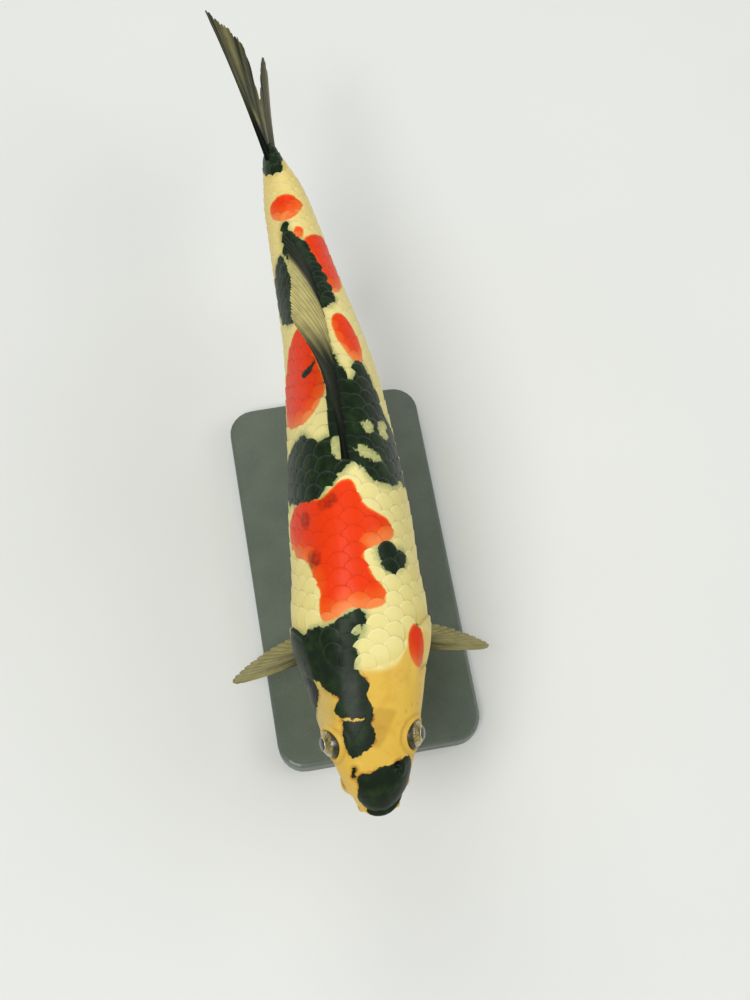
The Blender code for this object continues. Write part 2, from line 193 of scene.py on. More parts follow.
@dataclass(frozen=True)
class BodyForm:
    """The flesh without its folds: oval rings along a gently swinging axis."""

    length: float = 246.0
    snout_y: float = -107.0
    swim_height: float = 80.0
    snout_start: float = 1.2
    snout_rounding: float = 9.0
    tail_rounding: float = 4.0
    axis_x: Table = (
        (0, -7.0), (45, -4.2), (95, -0.4), (135, 1.8), (165, 2.1), (200, -0.3), (232, -2.6), (246, -4.9))
    half_width: Table = (
        (0, 6.6), (8, 9.7), (20, 14.0), (33, 17.6), (46, 20.2), (56, 22.6), (65, 23.4), (80, 22.0),
        (100, 21.3), (122, 19.6), (150, 17.2), (172, 14.5), (196, 11.9), (220, 9.6), (234, 7.9), (246, 4.2))
    back: Table = (
        (0, -0.5), (8, 5.6), (20, 12.0), (33, 17.2), (46, 21.8), (60, 27.0), (80, 32.6), (100, 36.0),
        (115, 36.4), (140, 33.2), (170, 26.6), (196, 20.0), (215, 16.3), (232, 15.2), (246, 16.6))
    belly: Table = (
        (0, -9.6), (8, -14.4), (20, -18.0), (33, -21.6), (46, -25.0), (60, -28.8), (80, -32.6),
        (100, -34.6), (120, -34.8), (145, -32.6), (170, -27.8), (190, -22.2), (206, -17.6), (220, -15.3),
        (232, -15.0), (246, -16.4))
    level: Table = ((0, -5.6), (20, -2.6), (45, -1.6), (80, -1.0), (130, -1.0), (200, 0.0), (246, 0.0))
    back_power: Table = ((0, 2.3), (24, 2.7), (48, 2.4), (75, 2.1), (246, 2.0))
    belly_power: Table = ((0, 2.2), (30, 2.35), (110, 2.45), (190, 2.15), (246, 2.0))

    def turn(self, station: Array) -> Array:
        """Side turn of the axis at stations, in radians."""
        return np.arctan2(read(self.axis_x, station + 1) - read(self.axis_x, station - 1), 2.0)

    def section(self, station: Array, angle: Array) -> tuple[Array, Array]:
        """A ring's outline.

        Args:
            station: Distance behind the snout.
            angle: Degrees round the ring, 0 on the left side and 90 on the back.

        Returns:
            Distances out to the left and up from the axis.
        """
        station, angle = np.broadcast_arrays(np.asarray(station, float), np.asarray(angle, float))
        ahead = 1 - np.clip((station - self.snout_start) / self.snout_rounding, 0.0, 1.0)
        behind = np.clip((station - self.length) / self.tail_rounding, 0.0, 1.0)
        snout = np.sqrt(1 - ahead ** 2)
        level = read(self.level, station)
        width = read(self.half_width, station) * snout * np.sqrt(1 - behind ** 2)
        high = (read(self.back, station) - level) * snout * (1 - 0.12 * behind ** 2)
        deep = (level - read(self.belly, station)) * snout * (1 - 0.12 * behind ** 2)
        cos, sin = np.cos(np.radians(angle)), np.sin(np.radians(angle))
        power = 2 / np.where(sin > 0, read(self.back_power, station), read(self.belly_power, station))
        out = width * np.sign(cos) * np.abs(cos) ** power
        return out, level + np.where(sin > 0, high, deep) * np.sign(sin) * np.abs(sin) ** power

    def place(self, station: Array, out: Array, up: Array) -> Array:
        """Finds points beside the axis.

        Args:
            station: Distance behind the snout.
            out: Distance to the left of the axis.
            up: Height over the axis.

        Returns:
            Points, (..., 3).
        """
        station, out, up = np.broadcast_arrays(np.asarray(station, float), out, up)
        turn = self.turn(station)
        return np.stack([read(self.axis_x, station) + out * np.cos(turn),
                         self.snout_y + station - out * np.sin(turn), self.swim_height + up], -1)

    def point(self, station: Array, angle: Array) -> Array:
        """Points of the surface, (..., 3)."""
        return self.place(station, *self.section(station, angle))

    def normal(self, station: Array, angle: Array) -> Array:
        """Finds the surface's outward normals.

        Args:
            station: Distance behind the snout.
            angle: Degrees round the ring.

        Returns:
            Unit vectors, (..., 3).
        """
        ahead = np.maximum(station - 0.3, self.snout_start + 0.001)
        along = self.point(ahead + 0.6, angle) - self.point(ahead, angle)
        round_it = self.point(station, angle + 0.6) - self.point(station, angle - 0.6)
        return unit(np.cross(along, round_it))


class Unwrap:
    """The surface rolled out flat, between angles round a ring and arcs from the back."""

    end: float = 250.0
    step: float = 0.5
    widest: float = 90.0
    per_degree: int = 2

    def __init__(self, form: BodyForm) -> None:
        """Measures the rings of a form.

        Args:
            form: The body.
        """
        self.first = form.snout_start
        self.stations = np.arange(self.first, self.end, self.step)
        spread = np.linspace(0.0, 180.0, 180 * self.per_degree + 1)
        out, up = form.section(self.stations[:, None], 90.0 - spread[None, :])
        steps = np.hypot(np.diff(out, axis=1), np.diff(up, axis=1))
        self.arcs = np.concatenate([np.zeros((len(self.stations), 1)), np.cumsum(steps, axis=1)], axis=1)
        self.halves = np.maximum(self.arcs[:, -1], 1e-3)
        arcs = np.arange(0.0, self.widest, self.step)
        self.angles = np.array([np.interp(arcs, row, spread) for row in self.arcs])

    def _row(self, station: Array) -> tuple[Array, Array]:
        """The row of the tables before each station, and the share of the next one."""
        at = np.clip((station - self.first) / self.step, 0.0, len(self.stations) - 1.001)
        return at.astype(int), at - at.astype(int)

    def _between(self, table: Array, station: Array, at: Array) -> Array:
        """Reads a table between its rows and columns.

        Args:
            table: A table with a row for each ring.
            station: Stations to read it at.
            at: Places across it, in columns.

        Returns:
            The values.
        """
        row, share = self._row(station)
        at = np.clip(at, 0.0, table.shape[1] - 1.001)
        column = at.astype(int)
        part = at - column
        near = table[row, column] * (1 - part) + table[row, column + 1] * part
        far = table[row + 1, column] * (1 - part) + table[row + 1, column + 1] * part
        return near * (1 - share) + far * share

    def half(self, station: Array) -> Array:
        """Arc from the back to the middle of the belly."""
        row, share = self._row(np.asarray(station, float))
        return self.halves[row] * (1 - share) + self.halves[row + 1] * share

    def angle(self, station: Array, arc: Array) -> Array:
        """Angle round the ring at an arc."""
        station, arc = np.broadcast_arrays(np.asarray(station, float), np.asarray(arc, float))
        return 90.0 - np.sign(arc) * self._between(self.angles, station, np.abs(arc) / self.step)

    def arc(self, station: Array, angle: Array) -> Array:
        """Arc at an angle between -90 and 270 degrees."""
        station, off = np.broadcast_arrays(np.asarray(station, float), 90.0 - np.asarray(angle, float))
        return np.sign(off) * self._between(self.arcs, station, np.abs(off) * self.per_degree)

    def flat(self, station: Array, arc: Array) -> Array:
        """Place in the unwrap's own square, (..., 2), for a texture map."""
        across = np.clip(arc / np.maximum(self.half(station), 1e-3), -1.0, 1.0)
        return np.stack([0.01 + 0.9 * station / self.end, 0.5 + 0.49 * across], -1)


# -------------------------- markings


class Pigment(Enum):
    """The dark colours over the pale ground, the windows left open in the black, and a tan smudge."""

    SUMI = "sumi"
    HI = "hi"
    WINDOW = "window"
    TAN = "tan"


# Outlines of the markings, each a ring of stations and arcs.

BLACK_OUTLINES: tuple[Table, ...] = (
    # snout, a fleck beside it and the brow
    ((11, -6.7), (12, -4.8), (11.3, -1.6), (13, 0.5), (13.4, 5.3), (15, 8.3), (16.6, 12.1), (14.8, 15.4),
     (12, 17.6), (12.8, 20.4), (9, 21.6), (5.4, 19.6), (3.5, 23.5), (-4, 24), (-4, -12), (2.2, -10.4),
     (3.4, -7.2), (5.2, -8.8), (8, -6.3)),
    ((13.4, -8.9), (14.2, -7.9), (12.4, -6.9), (10.8, -7.6), (11.4, -8.6)),
    ((28, -9.1), (27, -6.4), (27.3, -3.4), (26, 0.4), (22, 1.2), (19, -0.6), (18, -3.3), (16.6, -5.2),
     (16.6, -8.2), (21, -9.6), (25, -9.8)),
    # neck, right cheek and left shoulder
    ((61.5, -0.6), (58, 1.4), (54, 0.2), (49, -3.6), (45.5, -2), (42, -2.9), (38, 1.5), (35, -0.9),
     (31.5, 1), (27, 0.8), (25, -1), (25, -8.6), (29, -9.6), (31, -12.2), (33, -11.9), (34.4, -9.1),
     (36, -11.3), (39, -15.6), (42, -17), (44, -24), (40, -33), (45, -41), (52, -44), (57, -42), (62, -38),
     (61, -27.2), (57, -19), (57.6, -13.8), (58, -8.7), (60.4, -5.3)),
    ((45, -21), (41.4, -18.6), (38.4, -17.6), (35.6, -19.8), (33.4, -24), (33, -28), (36, -33), (42, -36),
     (46, -32)),
    ((82.3, 8.2), (82, 13.4), (80.2, 14.2), (81.2, 21.6), (76.5, 19.6), (72.2, 16), (72, 12), (76.6, 6.2)),
    # the two bands beside the dorsal fin
    ((106, -47), (107, -40), (101, -26), (97.5, -15), (97, -10.5), (99, -8), (104, -4.6), (105, 0),
     (119, 0), (119.5, -4), (118, -10.7), (125, -16.3), (124, -22.5), (122, -34.5), (126, -42), (120, -50),
     (112, -52)),
    ((157.4, -4.6), (154, 0.4), (148.4, 1.8), (142.8, 3.2), (139.4, 5.2), (143.4, 8), (147.6, 6.6),
     (149.4, 11.6), (148, 15), (140, 18), (135, 21.5), (129, 23), (127, 31), (122, 39), (115, 36),
     (111, 41), (104, 38), (106.6, 28), (102, 18.9), (101, 10), (104, 7), (108, 4.2), (108, 2.3),
     (106, -0.4), (105, -2), (118, -4), (128, -3.4), (144, -3.4)),
    # stripes of the tail, a fleck in the red and the tail's root
    ((217, -5.2), (213.5, -2.6), (209, -1.8), (205, 0.6), (200, 2.4), (195, 3.4), (188, 5.6), (180, 6.6),
     (173.4, 6.6), (170, 3), (172, -0.4), (177, -1.8), (187, -3.8), (198, -6.6), (206, -8.4)),
    ((203, -10.6), (198, -7.8), (190, -7.6), (180, -6), (172, -7.4), (170, -12), (173.4, -19.6), (181, -25),
     (194, -26), (201, -18)),
    ((148.4, -13.4), (144.6, -12.8), (144.7, -9.4), (148.2, -4.8), (150.4, -5.4), (148.8, -9.8)),
    ((235.6, -2), (236.4, 0.6), (240, 2.4), (243.4, 5.4), (245.2, 9.4), (254, 13), (254, -27), (246.8, -25),
     (244.6, -18.6), (245.6, -14), (242, -9.4), (238, -5.6)),
)

RED_OUTLINES: tuple[Table, ...] = (
    # saddle
    ((102, -2.4), (102, 1.6), (97, 2.8), (93, 4.8), (91, 9.3), (89.5, 13.7), (86, 15.9), (83, 14.1),
     (80, 5.8), (78, 2.8), (74, 3.9), (70, 5.7), (65, 9.8), (61.5, 8.4), (60, 2), (62, -3), (58.4, -8.3),
     (58.4, -13.5), (64, -13.9), (68, -12.5), (73, -16.2), (80, -18.4), (83, -27), (90, -36), (99, -38),
     (101, -30), (100, -17.9), (97, -10.5), (99.4, -6.3)),
    # left gill cover
    ((57.5, 20.2), (56, 23.1), (50, 24.6), (44.5, 23.2), (42.6, 19), (46, 16.4), (50, 15.7), (55, 16.8)),
    # flanks
    ((168, -7.7), (167, -15), (158, -25), (149, -36), (137, -35), (131, -29), (126, -12.9), (135, -3),
     (147, -4.8), (161, -5.9)),
    ((166, 2.4), (169, 6.1), (166.6, 10.4), (162, 13.4), (155, 15.2), (148.6, 13.4), (147.4, 8.8),
     (153, 4.4), (159, 2.6)),
    # tail
    ((204.6, 1.4), (207, 4.4), (209, 10.4), (208.4, 16.4), (203, 18.2), (194, 18.6), (185, 16.4),
     (178.4, 9.4), (178.6, 5.6), (188, 4.6), (195, 2.4), (200, 1.2)),
    ((226.4, -9.3), (226.8, -4), (226, 1.2), (222, 6), (218, 3.6), (214.4, -1.2), (217.4, -7.6),
     (223, -10.8)),
    ((211.4, -1), (210.4, 3), (205.4, 1.4), (205.4, -2)),
)

WINDOW_OUTLINES: tuple[Table, ...] = (
    # a thin line across the brow
    ((29.7, -10.8), (28.6, -7.6), (27.9, -3.6), (27.6, -1.6), (27, -3.4), (27.6, -7), (28.8, -11.2)),
    # in the bands
    ((124.8, 6.8), (124.8, 11), (122, 14), (118, 12), (119.8, 7)),
    ((125.2, 15.8), (127, 21.4), (125.2, 25), (122, 23.4), (118.8, 19.6), (121, 14.6)),
    ((115.2, 2.6), (114.6, 6.4), (113.4, 10.6), (110.4, 16.4), (107.8, 14), (109, 8.9), (110.2, 4)),
    ((117.8, -3.4), (116.4, -0.2), (113, -0.2), (108.8, -0.2), (109.2, -3.2), (113, -4.4)),
    ((109.8, -12.2), (109.8, -10.6), (108.4, -10.8), (108.2, -12.2)),
    # at the neck
    ((56.6, -0.2), (54.8, -4.2), (52.8, -4.6), (53.4, -1.4), (51.6, 0.8)),
)

TAN_OUTLINES: tuple[Table, ...] = (
    # at the edges of the saddle
    ((95.4, -12.6), (98.4, -8.6), (98.4, -4.4), (94.8, -4.2), (93, -8.2)),
    ((82.6, -18.2), (81, -12), (77.6, -12), (75.4, -15.8), (78.6, -18.8)),
    ((97, -22.2), (94.8, -16), (90.4, -16.4), (91, -21.4)),
    # crown
    ((30.6, 0.2), (30.2, 4.4), (29.6, 9), (26.8, 7.4), (23.6, 5.2), (20.4, 3.6), (18, 0.8), (21, -1.4),
     (26, -1.4)),
)

OUTLINES = {Pigment.SUMI: BLACK_OUTLINES, Pigment.HI: RED_OUTLINES, Pigment.WINDOW: WINDOW_OUTLINES,
            Pigment.TAN: TAN_OUTLINES}


@dataclass(frozen=True)
class Patch:
    """One patch of colour, outlined by stations and arcs, with its corners cut a number of times."""

    outline: Table
    cuts: int

    def corners(self) -> Array:
        """The outline with its corners cut.

        Returns:
            Its corners, (n, 2).
        """
        corners = np.array(self.outline, float)
        for _ in range(self.cuts):
            following = np.roll(corners, -1, axis=0)
            corners = np.stack([0.75 * corners + 0.25 * following, 0.25 * corners + 0.75 * following], 1)
            corners = corners.reshape(-1, 2)
        return corners

    def depth(self, station: Array, arc: Array) -> Array:
        """Measures how far places lie inside the patch.

        Args:
            station: Stations of the places.
            arc: Their arcs.

        Returns:
            Distances, below zero outside the patch.
        """
        corners = self.corners()
        nearest = np.full(station.shape, FAR)
        inside = np.zeros(station.shape, bool)
        for (s0, t0), (s1, t1) in zip(corners, np.roll(corners, -1, axis=0)):
            ds, dt = s1 - s0, t1 - t0
            share = np.clip(((station - s0) * ds + (arc - t0) * dt) / (ds * ds + dt * dt), 0.0, 1.0)
            nearest = np.minimum(nearest, np.hypot(station - s0 - share * ds, arc - t0 - share * dt))
            if t0 != t1:
                crossing = s0 + (arc - t0) * ds / dt
                inside ^= ((t0 > arc) != (t1 > arc)) & (station < crossing)
        return np.where(inside, nearest, -nearest)


@dataclass(frozen=True)
class Markings:
    """The coat's pattern: patches of each pigment on a pale ground."""

    limit: float = 6.0
    cuts_of_red: int = 2
    fringe: float = 4.2
    wobble: float = 1.5
    veil: float = 0.45

    def depth(self, pigment: Pigment, station: Array, arc: Array) -> Array:
        """Measures how far places lie inside a colour.

        Args:
            pigment: The colour.
            station: Stations of the places.
            arc: Their arcs.

        Returns:
            Distances within the limit either way, below zero outside the colour.
        """
        found = np.full(station.shape, -self.limit)
        cuts = self.cuts_of_red if pigment is Pigment.HI else 1
        for outline in OUTLINES[pigment]:
            found = np.maximum(found, Patch(outline, cuts).depth(station, arc))
        if pigment is Pigment.SUMI:
            window = self.depth(Pigment.WINDOW, station, arc)
            found = np.minimum(found, np.where(window > 0.0, -self.veil * window, -window))
        if pigment in (Pigment.SUMI, Pigment.HI):
            wave = np.sin(0.42 * station + 0.9 * np.sin(0.31 * arc)) * np.sin(0.37 * arc + 1.0)
            found = found + self.wobble * wave * rise(22.0, 32.0, np.abs(arc))
        return np.clip(found, -self.limit, self.limit)

    def sashi(self, station: Array, arc: Array) -> Array:
        """Depth in the red a little nearer the head: below zero where white scales thin the red."""
        return self.depth(Pigment.HI, station - self.fringe, arc)


@dataclass(frozen=True)
class Nape:
    """Where the bare skin of the crown ends and the scales start."""

    edge: Table = ((0, 42.0), (6, 41.8), (11, 44.0), (15, 49.0), (20, 53.5), (26, 56.0))

    def station(self, arc: Array) -> Array:
        """Station of the edge at arcs of either side."""
        return read(self.edge, np.abs(arc))


@dataclass(frozen=True)
class Ground:
    """How the pale ground changes from ochre on the head to white behind it."""

    nape: Nape = Nape()
    ochre: Table = ((0, 0.6), (14, 1.0), (26, 1.0), (44, 0.9), (70, 0.75))
    behind: Table = ((40, 0.0), (100, 0.08), (190, 0.25), (246, 0.5))

    def warmth(self, station: Array, arc: Array) -> Array:
        """Share of ochre: strong on the crown, weaker on the right temple and down the cheeks.

        Args:
            station: Stations.
            arc: Their arcs.

        Returns:
            Shares.
        """
        crown = read(self.ochre, station) * (1 - 0.35 * rise(14.0, 34.0, np.abs(arc)))
        crown *= 1 - 0.4 * rise(-8.0, -16.0, arc) * rise(22.0, 30.0, station)
        scaled = rise(-1.4, 2.0, station - self.nape.station(arc))
        return crown * (1 - scaled) + read(self.behind, station) * scaled


# -------------------------- the head's relief


@dataclass(frozen=True)
class GillCover:
    """Outline and steps of a gill cover."""

    top: float = 36.0
    bottom: float = -62.0
    rear: float = 65.0
    rear_curve: float = 9.0
    throat_short: float = 2.5
    throat_run: float = 20.0
    height: float = 0.6
    bone_margin: float = 2.4
    bone_height: float = 0.22
    slit_behind: float = 0.75
    slit_depth: float = 0.75
    slit_width: float = 0.55
    ridge_station: float = 47.0
    ridge_curve: float = 6.0
    ridge_height: float = 0.22
    groove_behind: float = 0.6
    groove_depth: float = 0.3

    def across(self, angle: Array) -> Array:
        """-1 at the cover's lower end and 1 at its upper end, from angles of either side."""
        folded = np.where(angle > 90.0, 180.0 - angle, angle)
        return (folded - (self.top + self.bottom) / 2) / ((self.top - self.bottom) / 2)

    def edge(self, across: Array) -> Array:
        """Station of the rear edge, which runs forward under the throat.

        Args:
            across: Places from the cover's lower end to its upper end.

        Returns:
            Stations.
        """
        low = np.maximum(-across, 0.0)
        held = np.clip(across, -1.0, 1.0)
        throat = self.throat_short * np.minimum(low, 1.0) + self.throat_run * np.maximum(low - 1.0, 0.0)
        return self.rear - self.rear_curve * held ** 2 - throat

    def ahead_of_ridge(self, station: Array, across: Array) -> Array:
        """Distance before the ridge of the cheek."""
        return self.ridge_station - self.ridge_curve * across ** 2 - station

    def relief(self, station: Array, angle: Array) -> Array:
        """Height of the cover, its bones and its slit over the plain form.

        Args:
            station: Stations.
            angle: Angles round the ring.

        Returns:
            Heights.
        """
        across = self.across(angle)
        inside = self.edge(across) - station
        ends = 1 - rise(1.0, 1.2, across)
        front = rise(24.0, 8.0, inside)
        step = self.height * rise(-0.35, 0.3, inside) * front
        bone = self.bone_height * rise(self.bone_margin - 0.4, self.bone_margin + 0.5, inside) * front
        bone *= rise(-1.15, -0.9, across)
        slit = -self.slit_depth * bell(inside + self.slit_behind, self.slit_width)
        ahead = self.ahead_of_ridge(station, across)
        cheek = self.ridge_height * rise(-0.5, 0.5, ahead)
        cheek -= self.groove_depth * bell(ahead + self.groove_behind, 0.6)
        cheek *= rise(1.0, 0.75, np.abs(across)) * rise(14.0, 5.0, ahead)
        return (step + bone + slit) * ends + cheek

    def crease(self, station: Array, angle: Array) -> Array:
        """Share of shadow in the slit and under the cheek's ridge.

        Args:
            station: Stations.
            angle: Angles round the ring.

        Returns:
            Shares.
        """
        across = self.across(angle)
        slit = bell(self.edge(across) - station + self.slit_behind, 0.75) * (1 - rise(1.0, 1.2, across))
        ridge = bell(self.ahead_of_ridge(station, across) + self.groove_behind, 0.8)
        return np.maximum(slit, 0.5 * ridge * rise(1.0, 0.75, np.abs(across)))


@dataclass(frozen=True)
class Pores:
    """Small sense pores round the eye, along the temple and down the cheek."""

    radius: float = 0.42
    depth: float = 0.3
    eye_station: float = 23.6
    eye_arc: float = 19.0
    ring: float = 8.6

    def places(self) -> list[tuple[float, float]]:
        """Lays out the pores of one side.

        Returns:
            Their stations and arcs.
        """
        turns = [math.radians(degrees) for degrees in range(-60, 165, 25)]
        found = [(self.eye_station + self.ring * math.sin(turn), self.eye_arc + self.ring * math.cos(turn))
                 for turn in turns]
        found += [(35.0 + 3.4 * i, 21.0 + 0.5 * i) for i in range(5)]
        return found + [(43.6 - 0.05 * i * i, 28.0 + 4.2 * i) for i in range(7)]

    def relief(self, station: Array, arc: Array) -> Array:
        """Height of the pores over the plain form."""
        return -sum(self.depth * bell(np.hypot(station - along, np.abs(arc) - across), self.radius)
                    for along, across in self.places())


@dataclass(frozen=True)
class Nostril:
    """One pair of openings before the eye, with a flap of skin between them."""

    station: float = 12.4
    arc: float = 7.5
    rear_depth: float = 1.5
    front_depth: float = 1.1
    flap_height: float = 0.85
    rim_height: float = 0.28

    def relief(self, station: Array, arc: Array) -> Array:
        """Height of the pits and the flap over the plain form.

        Args:
            station: Stations.
            arc: Their arcs.

        Returns:
            Heights.
        """
        along, across = station - self.station, np.abs(arc) - self.arc
        rear = -self.rear_depth * bell(np.hypot(along - 0.9, across * 0.75), 0.95)
        front = -self.front_depth * bell(np.hypot(along + 1.3, across), 0.62)
        flap = self.flap_height * bell(along + 0.35 + 0.25 * across ** 2, 0.42) * bell(across, 1.3)
        rim = self.rim_height * bell(np.hypot(along * 0.9 - 0.2, across * 0.8) - 2.1, 0.6)
        return rear + front + flap + rim


@dataclass(frozen=True)
class EyeSeat:
    """Where an eyeball sits, and the rim of skin round it."""

    station: float = 23.6
    diameter: float = 10.6
    out: float = 12.0
    up: float = 4.6
    rim: float = 0.75
    fold: float = 0.2
    groove: float = 0.18
    fall: float = 2.2

    def centre(self, form: BodyForm, side: Side) -> Array:
        """The eyeball's centre."""
        return form.place(self.station, side.value * self.out, self.up)

    def beyond(self, form: BodyForm, side: Side, points: Array) -> Array:
        """Distance of points from one eyeball's surface."""
        return np.linalg.norm(points - self.centre(form, side), axis=-1) - self.diameter / 2

    def relief(self, form: BodyForm, points: Array) -> Array:
        """Height of the rim, and the skin's fall under the eyeball.

        Args:
            form: The body.
            points: Points of the plain form, (..., 3).

        Returns:
            Heights.
        """
        total = np.zeros(points.shape[:-1])
        for side in Side:
            beyond = self.beyond(form, side, points)
            rim = self.rim * bell(beyond - 0.7, 0.65) + self.fold * bell(beyond - 2.6, 0.8)
            rim -= self.groove * bell(beyond - 1.85, 0.4)
            total += np.where(beyond > -1.6, rim, 0.0) - self.fall * rise(0.25, -0.9, beyond)
        return total


@dataclass(frozen=True)
class Lip:
    """One lip: a roll of flesh swept round the mouth."""

    half: float
    back: float
    long: float
    level: float
    drop: float
    radius: float
    sweep: float

    def path(self, form: BodyForm, grow: float = 0.0, lift: float = 0.0, steps: int = 16) -> Array:
        """Points along the roll, grown outwards and lifted if wanted."""
        angle = np.radians(np.linspace(-self.sweep, self.sweep, steps + 1))
        return form.place(self.back - (self.long + grow) * np.cos(angle), (self.half + grow) * np.sin(angle),
                          self.level - self.drop * (1 - np.cos(angle)) + lift)

    def radii(self, steps: int = 16) -> Array:
        """The roll's radius along it, thinner towards the corners."""
        return self.radius * (1 - 0.45 * np.linspace(-1.0, 1.0, steps + 1) ** 2)


@dataclass(frozen=True)
class Mouth:
    """Lips and the slit between them."""

    upper: Lip = Lip(8.0, 13.0, 11.2, -8.0, 2.5, 1.8, 80.0)
    lower: Lip = Lip(6.8, 13.0, 9.6, -11.8, 0.8, 1.6, 68.0)
    corner: float = 11.6
    reach: float = 17.0
    hub_station: float = 16.0
    hub_up: float = -6.0
    search: tuple[float, float] = (4.2, -2.3)
    search_step: float = 0.15
    groove_in: float = 0.5
    groove_lift: float = 2.15
    groove_radius: float = 0.34
    slit_half: float = 0.2
    slit_up: float = -10.0
    slit_drop: float = 1.3
    slit_run: float = 10.4

    def line(self, station: Array) -> Array:
        """Height of the slit at a station."""
        share = 1 - (self.upper.back - station) / self.slit_run
        return self.slit_up - self.slit_drop * np.clip(share, 0.0, 1.0)

    def shape(self, form: BodyForm, points: Array, normals: Array, relief: Array, station: Array) -> Array:
        """Moves the points of the plain snout out to the lips and into the slit.

        Args:
            form: The body.
            points: Points of the plain form, (n, 3).
            normals: Their outward normals.
            relief: Height of other relief at each point.
            station: Their stations.

        Returns:
            The moved points.
        """
        hub = form.place(self.hub_station, 0.0, self.hub_up)
        fan = unit(points - hub)
        share = rise(11.0, 16.5, station)[:, None]
        ways = unit(fan * (1 - share) + normals * share)
        facing = np.sum(ways * normals, axis=-1)
        groove = self.upper.path(form, grow=-self.groove_in, lift=self.groove_lift)
        heights = np.arange(*self.search, -self.search_step)
        found = np.full(len(points), heights[-1])
        last = np.ones(len(points))
        open_ones = np.ones(len(points), bool)
        for height in heights:
            at = points + ways * height
            field = self.field(form, at, height * facing - relief, groove)
            hit = open_ones & (field <= 0.0)
            found[hit] = height - self.search_step * field[hit] / np.maximum(last[hit] - field[hit], 1e-6)
            open_ones &= ~hit
            last = field
        return points + ways * found[:, None]

    def field(self, form: BodyForm, at: Array, base: Array, groove: Array) -> Array:
        """Distance from the snout with its lips.

        Args:
            form: The body.
            at: Points, (n, 3).
            base: Their distances from the skin without the lips.
            groove: Path of the groove over the upper lip.

        Returns:
            Distances, below zero inside.
        """
        field = soft_min(base, from_line(at, self.upper.path(form), self.upper.radii()), 0.7)
        field = soft_min(field, from_line(at, self.lower.path(form), self.lower.radii()), 1.2)
        field = soft_max(field, -from_line(at, groove, np.full(len(groove), self.groove_radius)), 0.5)
        station = at[..., 1] - form.snout_y
        slit = np.maximum(np.abs(at[..., 2] - form.swim_height - self.line(station)) - self.slit_half,
                          (station - self.corner) * 0.6)
        return soft_max(field, -slit, 0.35)


@dataclass(frozen=True)
class Barbel:
    """One feeler: its place on the upper lip, its length and its root's radius."""

    lip_angle: float
    length: float
    radius: float
    tip: float = 0.3
    steps: int = 18
    sides: int = 10

    def path(self, form: BodyForm, lip: Lip, side: Side) -> Array:
        """Lays the feeler's path from inside the lip, out, down and back to the tip.

        Args:
            form: The body.
            lip: The upper lip.
            side: The fish's side.

        Returns:
            The points, (n, 3).
        """
        angle = math.radians(self.lip_angle)
        start = form.place(lip.back - lip.long * math.cos(angle), side.value * lip.half * math.sin(angle),
                           lip.level - lip.drop * (1 - math.cos(angle)))
        out = unit(np.array([side.value * 0.7 * math.sin(angle), -0.55 * math.cos(angle), -0.9]))
        points = [start + out * 0.4, start + out * (lip.radius + 0.3)]
        for i in range(1, self.steps + 1):
            t = i / self.steps
            fall = unit(np.array([side.value * 0.12 * (1 - t), 0.35 + 0.6 * t, -0.75]))
            points.append(points[-1] + unit(out * (1 - t) ** 2 + fall) * self.length / self.steps)
        return np.array(points)

    def tube(self, form: BodyForm, lip: Lip, side: Side) -> tuple[Array, Faces]:
        """Makes the feeler, with a flared root and a round tip.

        Args:
            form: The body.
            lip: The upper lip.
            side: The fish's side.

        Returns:
            Points, (n, 3), and the corner numbers of each face.
        """
        path = self.path(form, lip, side)
        along = unit(np.gradient(path, axis=0))
        first = unit(np.cross(along, np.array([0.0, 0.0, 1.0]) + 1e-4))
        second = np.cross(along, first)
        t = np.linspace(0.0, 1.0, len(path))
        radii = self.radius + (self.tip - self.radius) * t + 0.7 * self.radius * np.exp(-t * 14.0)
        radii[-1] *= 0.55
        spin = np.linspace(0.0, 2 * math.pi, self.sides, endpoint=False)
        ring = np.cos(spin)[None, :, None] * first[:, None] + np.sin(spin)[None, :, None] * second[:, None]
        points = (path[:, None] + ring * radii[:, None, None]).reshape(-1, 3)
        tip = path[-1] + along[-1] * self.tip * 0.7
        faces = band_faces(len(path), self.sides, closed=True)
        faces += fan_faces((len(path) - 1) * self.sides, self.sides, len(points))
        return np.vstack([points, tip]), faces


# -------------------------- meshes


@dataclass(frozen=True)
class Site:
    """Where the part stands in the frame: the middle of its stand's underside, in metres."""

    foot: tuple[float, float, float]

    @classmethod
    def from_frame(cls) -> Site:
        """Reads the place from the stand's base."""
        low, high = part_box("stand_base")
        return cls(((low[0] + high[0]) / 2, (low[1] + high[1]) / 2, low[2]))

    def metres(self, points: Array) -> Array:
        """Points of the frame from millimetres over the foot."""
        return np.asarray(points) * MM + np.array(self.foot)


def band_faces(rows: int, columns: int, closed: bool) -> Faces:
    """Quads between rows of points.

    Args:
        rows: Number of rows.
        columns: Points in each.
        closed: Whether the last point joins the first.

    Returns:
        Corner numbers of each quad.
    """
    width = columns if closed else columns - 1
    j = np.arange(width)
    following = (j + 1) % columns
    quads = [np.stack([i * columns + j, i * columns + following, (i + 1) * columns + following,
                       (i + 1) * columns + j], -1) for i in range(rows - 1)]
    return np.concatenate(quads).tolist()


def fan_faces(first: int, count: int, tip: int) -> Faces:
    """Triangles from a ring of points to a tip, by their numbers."""
    return [[first + i, first + (i + 1) % count, tip] for i in range(count)]


def grid_rim(rows: int, columns: int) -> list[int]:
    """Numbers of the points round the edge of a grid.

    Args:
        rows: Number of rows.
        columns: Points in each.

    Returns:
        The numbers in order round the grid.
    """
    ring = list(range(columns)) + [i * columns + columns - 1 for i in range(1, rows)]
    ring += [(rows - 1) * columns + i for i in range(columns - 2, -1, -1)]
    return ring + [i * columns for i in range(rows - 2, 0, -1)]


